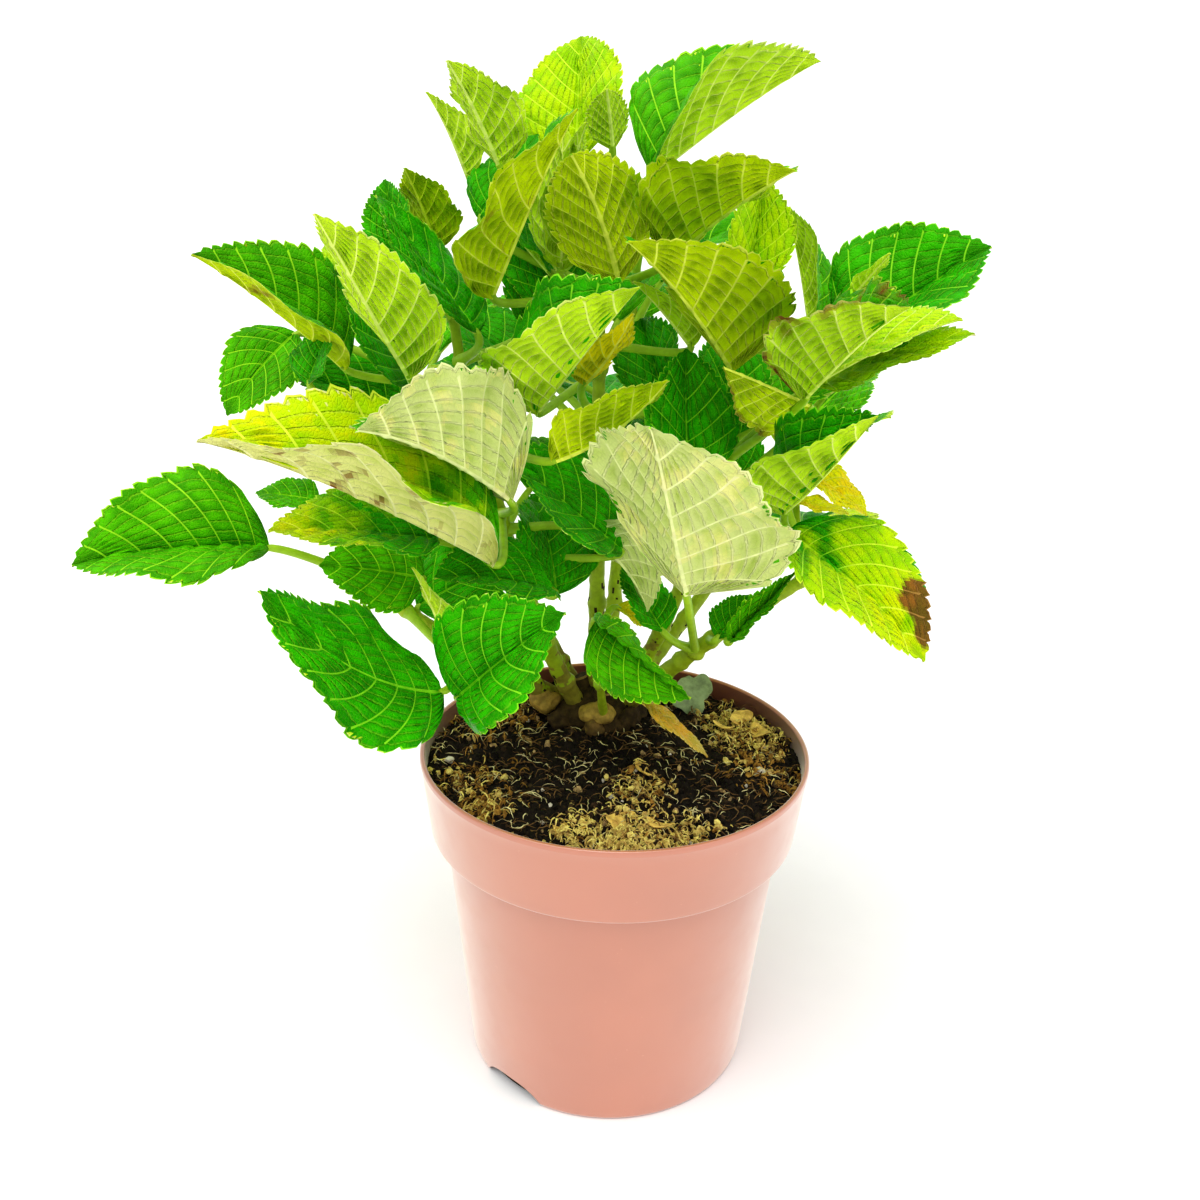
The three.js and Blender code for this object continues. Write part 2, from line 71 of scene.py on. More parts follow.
STEM_STEPS = 6
BLADE_STEPS = 6
BLADE_TIP_WIDTH = 0.6
SWELL = 0.66
TAPER = 0.98
LEAF_SPACE = 5
STEM_SPACE = 6
LOWEST_LEAF = 172

# Each leaf: place on the shoot; heading, rise and length of the stalk; heading, rise and length of
# the blade; its bend, roll, fold and width to length; then its colours above and below, which are
# deep and pale if not given, and how it has discoloured, if it has.
SHOOTS = {
    "centre": dict(
        foot=(-9, 37, 160), heading=(262, 242), rise=(87, 88), length=216, bare=0.42,
        radii=(4.0, 2.0),
        leaves=[
            (0.98, 121, 44, 28, 92, 62, 60, 10, -22, 22, 0.8, "lime"),
            (0.98, 350, 40, 27, 29, 31, 86, -5, -3, 46, 0.88, "mid"),
            (0.98, 200, 25, 45, 225, 60, 45, 0, 15, 30, 0.75, "olive"),
            (0.95, 169, 20, 57, 195, 68, 36, 0, 5, 30, 0.78, "lime"),
            (0.85, 232, 4, 64, 316, 59, 78, -5, 30, 26, 0.72, "mid", "bronze", "spotted"),
            (0.85, 190, 30, 56, 25, 55, 40, 0, 20, 10, 0.7),
            (1, 290, 60, 26, 255, 60, 26, 0, 30, 30, 0.7, "lime"),
            (0.98, 239, -28, 33, 329, 88, 54, 10, 10, 5, 0.7, "lime"),
            (0.85, 308, 21, 45, 304, 33, 78, 0, -10, 35, 0.75, "mid", "bronze"),
            (0.85, 280, 13, 44, 240, 63, 59, 20, 40, 30, 0.72, "mid", "bronze"),
            (0.7, 253, -1, 74, 308, 43, 75, -8, 38, 60, 0.83),
            (0.6, 265, 25, 72, 320, 40, 36, -30, 0, 10, 0.7, "yellow", "yellow"),
            (0.85, 213, 20, 24, 168, 45, 32, 0, 0, 15, 0.85),
            (0.75, 332, 5, 42, 194, 50, 36, 0, 10, 20, 0.8, "olive"),
            (0.7, 202, 58, 31, 139, 58, 43, 0, -36, 6, 0.75),
            (0.55, 168, 42, 40, 143, 25, 56, 0, -5, 22, 0.75),
            (0.6, 348, 19, 30, 105, 32, 49, -4, -32, 38, 0.75),
            (0.45, 289, 10, 31, 109, 34, 58, 13, -23, 12, 0.75),
            (0.85, 237, 21, 31, 145, 90, 53, -11, 70, 0, 0.77, "lime"),
        ],
        pairs=dict(count=5, first=0.46, last=0.95, turn=60, between=(10, 170), blade=(72, 52)),
    ),
    "right_back": dict(
        foot=(5, 40, 157), heading=(325, 330), rise=(62, 84), length=183, bare=0.45,
        radii=(3.6, 2.0),
        leaves=[
            (0.95, 160, 40, 30, 90, 45, 35, 0, 0, 25, 0.75),
            (0.8, 260, 40, 43, 235, 40, 90, 0, 0, 35, 0.75, "deep", "bronze"),
            (0.95, 90, 35, 36, 70, 65, 50, 0, 30, 40, 0.7, "lime"),
            (0.95, 45, 12, 39, 104, 57, 55, 3, 50, 41, 0.65, "mid"),
            (0.9, 347, 23, 41, 2, 39, 66, 4, 36, 29, 0.95),
            (0.75, 328, 39, 46, 339, 28, 62, 0, 12, 5, 0.6, "lime", "cream"),
            (0.7, 295, 35, 68, 290, 40, 74, 0, 20, 50, 0.75, "mid", "pale", "browning edge"),
            (0.7, 310, 43, 60, 332, 38, 61, 10, 20, 20, 0.65, "pale"),
            (0.95, 330, 35, 48, 315, 50, 24, 0, 0, 0, 0.7, "lime"),
            (0.6, 306, 44, 75, 214, 31, 50, 20, 135, 50, 0.7, "olive", "bronze", "browning edge"),
            (0.6, 255, 25, 60, 95, 65, 50, 0, 10, 25, 0.8),
            (0.7, 259, 32, 35, 75, 62, 47, 9, 32, 15, 0.75),
            (0.6, 16, 22, 18, 135, 42, 38, 12, -10, 24, 0.75),
        ],
        pairs=dict(count=5, first=0.48, last=0.95, turn=30, between=(0, 170), blade=(72, 52)),
    ),
    "left_top": dict(
        foot=(-17, 43, 157), heading=(200, 210), rise=(60, 84), length=187, bare=0.45,
        radii=(3.6, 2.0),
        leaves=[
            (1, 174, 48, 30, 123, 60, 33, 0, -45, 35, 0.72),
            (1, 118, 56, 29, 230, 67, 36, 0, 10, 20, 0.75, "mid", "olive"),
            (0.9, 290, 30, 34, 155, 50, 65, 0, 10, 5, 0.72),
            (0.75, 257, 27, 77, 229, 57, 70, -5, 8, 28, 0.66, "lime"),
            (0.85, 201, 10, 49, 204, 46, 71, 7, -26, 42, 0.8, "mid", "bronze", "spotted"),
            (0.75, 225, 36, 37, 198, 62, 55, 0, -30, 5, 0.75),
            (0.8, 172, 20, 77, 225, -33, 45, 10, -30, 10, 0.73, "mid"),
            (0.7, 209, 25, 78, 50, 60, 24, 0, 0, 20, 0.95),
            (0.9, 21, 23, 30, 84, 59, 56, 19, 32, 34, 0.75),
            (0.7, 168, 14, 27, 177, 27, 61, 7, -32, 32, 0.75),
        ],
        pairs=dict(count=5, first=0.48, last=0.95, turn=75, between=(10, 170), blade=(72, 52)),
    ),
    "left_front": dict(
        foot=(-18, 30, 157), heading=(225, 235), rise=(60, 74), length=150, bare=0.5,
        radii=(4.2, 2.2),
        leaves=[
            (0.75, 272, -1, 56, 188, 33, 112, 8, -11, 50, 0.73, "mid", "cream", "yellowing"),
            (0.75, 279, 23, 55, 230, 39, 84, 12, 42, 44, 0.84, "mid", "grey", "tanned"),
            (0.6, 346, 10, 47, 191, 40, 66, -6, -33, 21, 0.74),
            (1, 307, 1, 49, 340, 22, 55, -36, -25, 27, 0.68, "deep", "bronze"),
            (0.6, 243, 24, 59, 202, 17, 63, 10, -10, 15, 0.72, "deep", "pale", "yellow edge"),
            (0.52, 252, -12, 80, 213, 18, 83, -50, -32, 0, 0.72),
            (0.52, 258, -9, 88, 330, 50, 63, 10, 70, 25, 0.8),
            (0.54, 296, 8, 36, 217, 28, 56, 15, -18, 20, 0.75),
            (0.54, 307, 0, 27, 104, 44, 52, 19, 25, 19, 0.75),
            (0.7, 352, 3, 33, 356, -36, 43, 22, -48, 33, 0.83, "grey", "grey"),
        ],
    ),
    "right_front": dict(
        foot=(6, 32, 156), heading=(312, 345), rise=(48, 40), length=127, bare=0.4,
        radii=(4.2, 2.4),
        leaves=[
            (0.42, 262, 37, 93, 254, 55, 96, -2, -18, 17, 0.84, "mid", "grey", "tanned"),
            (0.95, 227, 51, 39, 289, 37, 78, -14, 50, 60, 0.67),
            (0.9, 85, 40, 53, 345, -20, 33, 20, 15, 10, 0.75, "yellow", "yellow"),
            (0.95, 110, 45, 33, 355, -5, 24, 10, 5, 5, 0.7, "yellow", "yellow"),
            (1, 214, 37, 30, 317, -15, 74, 20, 17, 22, 0.67, "deep", "lime", "scorched"),
            (0.42, 225, 35, 26, 137, 46, 34, 0, -5, 20, 0.72),
            (0.5, 275, 25, 16, 35, 45, 24, 0, 15, 25, 0.72),
            (0.6, 262, 0, 18, 355, 54, 40, 0, 60, 60, 0.45, "mid"),
        ],
    ),
    "left_low": dict(
        foot=(-24, 38, 155), heading=(214, 205), rise=(32, 46), length=120, bare=0.5,
        radii=(4.0, 2.6),
        leaves=[
            (1, 213, 28, 44, 195, 4, 73, 10, -37, 35, 0.85, "mid"),
            (1, 140, 45, 39, 170, 5, 28, 0, -20, 10, 0.75, "mid"),
            (1, 342, 9, 27, 204, 19, 43, 8, -60, 20, 0.83, "mid"),
            (0.8, 304, -4, 42, 222, 70, 44, 0, -10, 10, 0.6),
            (0.54, 205, 49, 28, 20, 24, 49, 2, 39, 7, 0.75),
        ],
    ),
    "back": dict(
        foot=(-5, 51, 156), heading=(78, 88), rise=(60, 76), length=190, bare=0.42,
        radii=(3.8, 2.0),
        leaves=[
            (0.45, 256, 9, 27, 180, 12, 42, 10, -20, 5, 0.7),
        ],
        pairs=dict(count=6, first=0.45, last=1, turn=10, between=(0, 360), blade=(86, 50)),
    ),
    "back_left": dict(
        foot=(-18, 49, 154), heading=(140, 152), rise=(44, 64), length=178, bare=0.42,
        radii=(3.8, 2.0),
        leaves=[
            (0.45, 290, 8, 26, 190, 16, 66, 10, -25, 10, 0.7),
        ],
        pairs=dict(count=6, first=0.45, last=1, turn=60, between=(0, 360), blade=(84, 50)),
    ),
    "back_right": dict(
        foot=(6, 49, 154), heading=(38, 30), rise=(38, 60), length=150, bare=0.42,
        radii=(3.8, 2.2),
        leaves=[],
        pairs=dict(count=6, first=0.45, last=1, turn=35, between=(0, 360), blade=(82, 50)),
    ),
    "sprout": dict(
        foot=(-5, 20, 155), heading=(262, 262), rise=(55, 70), length=50, bare=0,
        radii=(2.2, 1.3),
        leaves=[
            (0.95, 265, 60, 24, 315, -15, 54, 10, 85, 40, 0.75, "mid"),
            (0.55, 295, 15, 42, 340, -30, 35, 0, -15, 0, 0.6, "dried", "dried"),
            (0.8, 75, 30, 32, 355, -30, 20, 0, 10, 20, 0.72, "yellow", "yellow"),
        ],
    ),
}

# ---- colours

# Colours of leaves as 8-bit sRGB: the blade between its veins, and the veins.
TONES = {
    # lime: the young leaves' own yellow-green, brightened as a painted glow that stands for light
    # shining through them
    "lime": ((181, 224, 0), (212, 240, 60)),
    "mid": ((74, 180, 0), (154, 220, 40)),
    "deep": ((40, 170, 0), (132, 210, 40)),
    "olive": ((160, 196, 0), (206, 224, 60)),
    "bronze": ((196, 222, 4), (230, 240, 96)),
    "yellow": ((246, 230, 0), (240, 236, 90)),
    "pale": ((198, 236, 34), (230, 246, 130)),
    "grey": ((200, 214, 122), (230, 238, 166)),
    "cream": ((224, 226, 130), (242, 240, 172)),
    "brown": ((132, 88, 40), (156, 116, 64)),
    "dried": ((216, 172, 66), (228, 198, 104)),
}

# How a leaf discolours, layer by layer: the other tone, the side it shows on, what it follows over
# the blade, and where along that it starts and is complete. A patch also has its place along and
# across the blade and its reach both ways.
BLUSHES = {
    "yellowing": (
        ("lime", "above", "tip", 0.1, 0.4),
        ("yellow", "above", "tip", 0.35, 1.3),
        ("brown", "below", "spots", 1.0, 2.9),
    ),
    "yellow edge": (("lime", "both", "tip", 0.3, 0.75), ("yellow", "both", "tip", 0.6, 1.4)),
    "browning edge": (("brown", "both", "margin", 0.86, 1.1),),
    "scorched": (
        ("lime", "above", "tip", 0.1, 0.34),
        ("yellow", "both", "tip", 0.4, 2.2),
        ("brown", "both", "patch", 0.0, 0.3, 0.8, -0.85, 0.13, 0.4),
    ),
    "spotted": (("brown", "below", "spots", 0.9, 2.8),),
    "tanned": (("cream", "below", "spots", 0.2, 1.6),),
}
BLUSH_LEVELS = 4

# Other colours.
PLAIN = {
    "stem": (156, 180, 34),
    "old stem": (140, 134, 46),
    "lenticel": (52, 38, 18),
    "stalk": (158, 196, 44),
    "bud": (140, 190, 30),
    # bark: the crown's own brown, darkened further as painted shade under the leaves
    "bark": (66, 52, 26),
    "knob": (168, 142, 66),
    "knob dark": (110, 88, 44),
    "cut wood": (150, 128, 70),
    "peat": (34, 26, 18),
    "crumb dark": (24, 18, 12),
    "crumb": (66, 50, 32),
    "crumb pale": (184, 156, 108),
    "fibre": (230, 208, 156),
    "fibre dark": (120, 92, 56),
    "moss": (162, 122, 56),
    "moss pale": (252, 204, 118),
    "grit": (214, 206, 188),
    "scrap": (142, 160, 116),
    "flake": (232, 190, 100),
    "pot": (187, 107, 73),
    # the pot's inside: its own plastic darkened as painted shade
    "pot inside painted shade": (120, 58, 40),
}


def linear(colour):
    """An 8-bit sRGB colour as linear numbers."""
    share = np.array(colour, float) / 255
    return np.where(share <= 0.04045, share / 12.92, ((share + 0.055) / 1.055) ** 2.4)


class Nodes:
    """The node tree of a new material or world, with short ways to add nodes and links."""

    def __init__(self, name, blocks=bpy.data.materials, shader="Principled BSDF"):
        self.block = blocks.new(name)
        self.block.use_nodes = True
        self.tree = self.block.node_tree
        self.shader = self.tree.nodes[shader]

    def fill(self, node, inputs):
        """Fills a node's inputs: a socket is linked, anything else is the input's own value."""
        for key, value in inputs.items():
            if isinstance(value, bpy.types.NodeSocket):
                self.tree.links.new(value, node.inputs[key])
            else:
                node.inputs[key].default_value = value

    def add(self, kind, inputs, output=0, **settings):
        """An output of a new node."""
        node = self.tree.nodes.new("ShaderNode" + kind)
        for key, value in settings.items():
            setattr(node, key, value)
        self.fill(node, inputs)
        return node.outputs[output]

    def place(self):
        return self.add("TexCoord", {}, "Object")

    def attribute(self, name, output):
        return self.add("Attribute", {}, output, attribute_name=name)

    def noise(self, vector, scale, detail=2.0, roughness=0.5):
        size = {"Scale": scale, "Detail": detail, "Roughness": roughness}
        return self.add("TexNoise", {"Vector": vector, **size})

    def spread(self, value, low, high, to_low=0.0, to_high=1.0):
        """A number between low and high mapped onto another span."""
        spans = {"From Min": low, "From Max": high, "To Min": to_low, "To Max": to_high}
        return self.add("MapRange", {"Value": value, **spans}, interpolation_type="SMOOTHSTEP")

    def maths(self, operation, first, second):
        return self.add("Math", {0: first, 1: second}, operation=operation)

    def blend(self, share, *colours):
        """Two colours mixed; each is a socket or linear numbers."""
        first, second = (
            colour if isinstance(colour, bpy.types.NodeSocket) else (*np.clip(colour, 0, 1), 1)
            for colour in colours)
        return self.add("Mix", {0: share, 6: first, 7: second}, 2, data_type="RGBA")

    def bump(self, height, strength, distance, under=None):
        """A relief, laid over another one if that is given."""
        inputs = {"Height": height, "Strength": strength, "Distance": distance}
        if under is not None:
            inputs["Normal"] = under
        return self.add("Bump", inputs)

    def finish(self, colour, roughness, normal, specular=0.5, **others):
        self.fill(self.shader, {"Base Color": colour, "Roughness": roughness, "Normal": normal,
                                "Specular IOR Level": specular, **others})
        return self.block


LEAF_SHINE = {"Specular Tint": (0.9, 1.0, 0.12, 1)}
POT_GLOSS = {
    "Coat Weight": 1.0, "Coat Roughness": 0.3, "Coat IOR": 2.0,
    "Sheen Weight": 1.0, "Sheen Roughness": 0.4, "Sheen Tint": (1, 0.92, 0.86, 1),
}


def leaf_material(name, colour, vein, below, glossy):
    """Leaf skin: mottled, with cross veins and a fine net that are sunk above and raised below, with
    painted light on the bulging cells above and painted shade in the hollow cells below.
    """
    nodes = Nodes(name)
    place = nodes.attribute("blade", "Vector")
    if below:
        dark = colour * (np.array([0.46, 0.54, 0.3]) + 1.7 * colour[2])
        light = colour * np.array([1.1, 1.08, 1.3])
        painted_cell_shading, dark_to, light_from, netted, veined, relief = -0.3, 0.06, 0.56, 0.24, 0.85, 0.0007
    else:
        dark = colour * (np.array([0.4, 0.6, 0.4]) + 0.5 * colour[0])
        light = colour * (np.array([1.25, 1.14, 1.0]) - 0.25 * colour[0])
        painted_cell_shading, dark_to, light_from, netted, veined, relief = 0.2, 0.38, 0.78, 0.14, 0.45, -0.0006
    # painted light and shade in the cells: lighter on the bulges above, darker in the hollows below
    bulging = nodes.maths("MULTIPLY", nodes.attribute("cell", "Fac"), painted_cell_shading)
    shade = nodes.maths("ADD", nodes.noise(place, 0.11, 3.0), bulging)
    skin = nodes.blend(nodes.spread(shade, dark_to, light_from), dark, light)
    strayed = nodes.maths("MULTIPLY", nodes.noise(place, 0.5, 1.0), 0.22)
    rung = nodes.maths("ADD", nodes.add("SeparateXYZ", {0: place}, "Z"), strayed)
    ladder = nodes.spread(nodes.maths("PINGPONG", rung, 0.5), 0, 0.13, 1, 0)
    flat = nodes.add("Mapping", {"Vector": place, "Scale": (0.7, 0.7, 1)})
    edge = nodes.add("TexVoronoi", {"Vector": flat, "Scale": 1, "Randomness": 1}, "Distance",
                     feature="DISTANCE_TO_EDGE", voronoi_dimensions="2D")
    fine = nodes.spread(edge, 0, 0.12, 1, 0)
    cushion = nodes.spread(edge, 0, 0.24)
    skin = nodes.blend(nodes.maths("MULTIPLY", fine, netted), skin, vein)
    skin = nodes.blend(nodes.maths("MULTIPLY", ladder, veined), skin, vein)
    normal = nodes.bump(nodes.noise(place, 1.6), 0.25, 0.0002)
    normal = nodes.bump(fine if below else cushion, 0.5, 0.0004, normal)
    normal = nodes.bump(ladder, 0.8, relief, normal)
    shine = nodes.spread(nodes.noise(place, 0.2), 0.3, 0.7, glossy, glossy + 0.14)
    return nodes.finish(skin, shine, normal, 0.1 if below else 0.3, **LEAF_SHINE)


def vein_material(name, colour, below, glossy):
    nodes = Nodes(name)
    place = nodes.attribute("blade", "Vector")
    tint = nodes.spread(nodes.noise(place, 0.25), 0.3, 0.7)
    skin = nodes.blend(tint, colour * 0.86, colour * 1.06)
    normal = nodes.bump(nodes.noise(place, 1.2), 0.2, 0.0002)
    return nodes.finish(skin, glossy + 0.08, normal, 0.1 if below else 0.3, **LEAF_SHINE)


def rough_material(name, colour, scale, contrast, roughness, relief):
    """Anything else that grows or crumbles: two tones of one colour and a grainy relief."""
    nodes = Nodes(name)
    place = nodes.place()
    tint = nodes.spread(nodes.noise(place, scale, 4.0, 0.6), 0.3, 0.7)
    skin = nodes.blend(tint, colour * (1 - contrast), colour * (1 + contrast))
    normal = nodes.bump(nodes.noise(place, scale * 3, 3.0, 0.6), relief, 0.0006)
    return nodes.finish(skin, roughness, normal, 0.3)


def pot_material(name, colour, roughness):
    """Thin moulded plastic: nearly even, with faint dust, scuffs and fine vertical draw lines."""
    nodes = Nodes(name)
    place = nodes.place()
    cloud = nodes.spread(nodes.noise(place, 14, 3.0), 0.35, 0.65)
    skin = nodes.blend(cloud, colour * np.array([0.95, 0.93, 0.92]), colour * 1.03)
    dust = nodes.spread(nodes.noise(place, 420), 0.72, 0.8)
    skin = nodes.blend(dust, skin, colour * np.array([1.1, 1.3, 1.4]))
    drawn = nodes.noise(nodes.add("Mapping", {"Vector": place, "Scale": (1, 1, 0.03)}), 700)
    normal = nodes.bump(drawn, 0.05, 0.0003)
    normal = nodes.bump(nodes.noise(place, 60), 0.04, 0.002, normal)
    scuffed = nodes.spread(nodes.noise(place, 90, 3.0), 0.4, 0.7, roughness, roughness + 0.15)
    return nodes.finish(skin, scuffed, normal, **POT_GLOSS)


# Size of the grain, contrast, roughness and relief.
ROUGH_LOOKS = {
    "stem": (260, 0.16, 0.5, 0.3),
    "old stem": (300, 0.22, 0.65, 0.5),
    "lenticel": (400, 0.2, 0.8, 0.4),
    "stalk": (220, 0.1, 0.42, 0.2),
    "bud": (300, 0.15, 0.45, 0.3),
    "bark": (260, 0.5, 0.9, 1.0),
    "knob": (240, 0.35, 0.7, 0.7),
    "knob dark": (240, 0.4, 0.8, 0.8),
    "cut wood": (500, 0.2, 0.8, 0.6),
    "scrap": (180, 0.3, 0.5, 0.5),
    "grit": (500, 0.1, 0.6, 0.5),
    "flake": (300, 0.35, 0.7, 0.8),
}
SOIL_LOOK = (420, 0.45, 0.95, 1.0)
POT_ROUGHNESS = {"pot": 0.3, "pot inside painted shade": 0.55}

LOOKS = []


def look(name):
    """The number of a look; its material is made when a mesh first needs it."""
    if name not in LOOKS:
        LOOKS.append(name)
    return LOOKS.index(name)


def material_of(name):
    title = f"{name} finish"
    if title not in bpy.data.materials:
        make_material(name).name = title
    return bpy.data.materials[title]


def make_material(name):
    if name in POT_ROUGHNESS:
        return pot_material(name, linear(PLAIN[name]), POT_ROUGHNESS[name])
    if name in PLAIN:
        return rough_material(name, linear(PLAIN[name]), *ROUGH_LOOKS.get(name, SOIL_LOOK))
    tone, side, part = name.split("|")
    first, *changes = tone.split(">")
    colours = linear(TONES[first])
    for change in changes:
        second, level = change.split(":")
        colours = colours + int(level) / BLUSH_LEVELS * (linear(TONES[second]) - colours)
    below = side == "below"
    glossy = 0.52 if below else 0.34 if first == "deep" else 0.42
    if part == "vein":
        return vein_material(name, colours[1], below, glossy)
    return leaf_material(name, *colours, below, glossy)


# ---- meshes


class Batch:
    """Points and faces of one kind, gathered until they become one mesh."""

    def __init__(self):
        self.points = []
        self.faces = []
        self.looks = []
        self.places = []
        self.count = 0

    def add(self, points, faces, looks, places=None):
        """Adds points, a list of face arrays and for each of them a look or looks.

        places holds each point's place on its blade and how far it bulges in its cell, from which the
        leaf skins paint light on the bulges and shade in the hollows.
        """
        points = np.asarray(points, float).reshape(-1, 3)
        for face, seen in zip(faces, looks):
            face = np.asarray(face).reshape(-1, np.shape(face)[-1])
            self.faces.append(face + self.count)
            self.looks.append(np.broadcast_to(seen, len(face)))
        self.points.append(points)
        self.places.append(np.zeros((len(points), 4)) if places is None else places)
        self.count += len(points)

    def build(self, name, slot, sharp=75, node=None):
        """The mesh as a piece that rides on the plant and stands for a node, if one is given."""
        points = np.concatenate(self.points)
        totals = np.concatenate([np.full(len(f), f.shape[1]) for f in self.faces])
        corners = np.concatenate([f.ravel() for f in self.faces])
        starts = np.concatenate([[0], np.cumsum(totals)[:-1]])
        used, index = np.unique(np.concatenate(self.looks), return_inverse=True)
        mesh = bpy.data.meshes.new(name)
        mesh.vertices.add(len(points))
        mesh.loops.add(len(corners))
        mesh.polygons.add(len(totals))
        for number in used:
            mesh.materials.append(material_of(LOOKS[number]))
        for data, key, values, kind in (
            (mesh.vertices, "co", points * MM, np.float32),
            (mesh.loops, "vertex_index", corners, np.int32),
            (mesh.polygons, "loop_start", starts, np.int32),
            (mesh.polygons, "material_index", index, np.int32),
            (mesh.polygons, "use_smooth", np.ones(len(totals)), bool),
        ):
            data.foreach_set(key, values.astype(kind).ravel())
        places = np.concatenate(self.places).astype(np.float32)
        blade = mesh.attributes.new("blade", "FLOAT_VECTOR", "POINT")
        blade.data.foreach_set("vector", places[:, :3].ravel())
        # how far each point bulges in its cell, which the leaf skins use to paint light and shade
        cell = mesh.attributes.new("cell", "FLOAT", "POINT")
        cell.data.foreach_set("value", places[:, 3].copy())
        mesh.update(calc_edges=True)
        mesh.validate()
        mesh.set_sharp_from_angle(angle=math.radians(sharp))
        piece = in_scene(name, mesh)
        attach(piece, "root")
        if node:
            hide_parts(node)
        return piece


def in_scene(name, data):
    """A new object in the scene for a mesh, lamp or camera."""
    thing = bpy.data.objects.new(name, data)
    bpy.context.scene.collection.objects.link(thing)
    return thing


def grid_quads(rows, columns, closed=False):
    """Corner numbers of the quads of a grid of points with that many rows and columns."""
    across = columns if closed else columns - 1
    row, column = np.meshgrid(np.arange(rows - 1), np.arange(across), indexing="ij")
    beside = (column + 1) % columns
    corners = [row * columns + column, row * columns + beside]
    corners += [(row + 1) * columns + beside, (row + 1) * columns + column]
    return np.stack(corners, -1).reshape(-1, 4)


def fan(centre, ring):
    """Triangles from one point to a ring of points."""
    ring = np.asarray(ring)
    return np.stack([np.full(len(ring), centre), ring, np.roll(ring, -1)], -1)


def unit(vectors):
    return vectors / np.maximum(np.linalg.norm(vectors, axis=-1, keepdims=True), 1e-9)


def circle(sides):
    return 2 * np.pi * np.arange(sides) / sides


def around_axis(radius, angle, height):
    """Points at radii, angles and heights, each one number or a grid."""
    level = radius * np.cos(angle), radius * np.sin(angle)
    return np.stack(np.broadcast_arrays(*level, height), -1)


def add_rings(batch, rings, ends, wall, caps, order=1):
    """A closed body from rings of points and the middle of each end; -1 turns its faces over."""
    rows, sides = rings.shape[:2]
    count = rows * sides
    ring = np.arange(sides)
    batch.add(
        np.concatenate([rings.reshape(-1, 3), ends]),
        [grid_quads(rows, sides, True)[:, ::order], fan(count, ring[::-order]),
         fan(count + 1, count - sides + ring[::order])],
        [wall, *caps],
    )


def tube(batch, path, radii, sides, seen, wobble=1.0):
    """A closed round limb along a path. seen is a look, or one for each face of its wall."""
    path = np.asarray(path, float)
    ahead = unit(np.gradient(path, axis=0))
    across = np.cross([0.31, 0.17, 0.93], ahead[0])
    if np.linalg.norm(across) < 0.2:
        across = np.cross([1, 0, 0], ahead[0])
    angle = circle(sides)
    rings = []
    for point, along, reach in zip(path, ahead, radii[:, None] * np.ones(sides) * wobble):
        across = unit(across - along * (across @ along))
        over = np.cross(along, across)
        rings.append(point + (np.outer(np.cos(angle) * reach, across)
                              + np.outer(np.sin(angle) * reach, over)))
    add_rings(batch, np.array(rings), path[[0, -1]], np.ravel(seen), [np.ravel(seen)[0]] * 2)


class Waves:
    """A smooth random field: a sum of seeded sine waves of the given lengths."""

    def __init__(self, seed, shortest, longest, count=24):
        random = np.random.default_rng(seed)
        length = shortest * (longest / shortest) ** random.random(count)
        self.turns = unit(random.normal(size=(count, 3))) * (2 * np.pi / length)[:, None]
        self.phase = random.random(count) * 2 * np.pi
        self.weight = length / longest

    def __call__(self, points):
        waves = np.sin(points @ self.turns.T + self.phase)
        return waves @ self.weight / np.sqrt((self.weight ** 2).sum() / 2)


# ---- the growth rule of the source, in metres only at the end


def direction(heading, rise):
    heading, rise = np.radians(heading), np.radians(rise)
    return around_axis(np.cos(rise), heading, np.sin(rise))


def lerp(first, last, share):
    return first + (last - first) * share


def walk(foot, heading, rise, length, steps):
    share = (np.arange(steps) + 0.5) / steps
    along = direction(lerp(*heading, share), lerp(*rise, share)) * length / steps
    return np.asarray(foot, float) + np.concatenate([np.zeros((1, 3)), np.cumsum(along, axis=0)])


def place_on(path, share):
    place = np.clip(share, 0, 1) * (len(path) - 1)
    step = np.minimum(np.floor(place).astype(int), len(path) - 2)
    part = np.expand_dims(place - step, -1)
    return path[step] * (1 - part) + path[step + 1] * part


def shoot_path(shoot):
    return walk(shoot["foot"], shoot["heading"], shoot["rise"], shoot["length"], 3 * STEM_STEPS)


def outline(share):
    """Half of a blade's width along it, as a share of the widest."""
    widest = SWELL / (SWELL + TAPER)
    return (share / widest) ** SWELL * ((1 - share) / (1 - widest)) ** TAPER


FIELDS = (
    "at", "stalk_heading", "stalk_rise", "stalk_length", "heading", "rise", "length",
    "bend", "roll", "fold", "width", "above", "below", "blush",
)


def unpack_leaf(row):
    """A leaf's values by name, with the usual ones where its row ends early."""
    return dict(zip(FIELDS, (*row, *("deep", "pale", "")[len(row) - 11:])))


def axes_at(leaf, share):
    """Directions of a blade at shares of its length: ahead, its upward normal and its side."""
    rise = leaf["rise"] - leaf["bend"] * np.asarray(share, float)
    ahead = direction(leaf["heading"], rise)
    upright = direction(leaf["heading"], rise + 90)
    roll = math.radians(leaf["roll"])
    normal = upright * math.cos(roll) + np.cross(ahead, upright) * math.sin(roll)
    return ahead, normal, np.cross(ahead, normal)


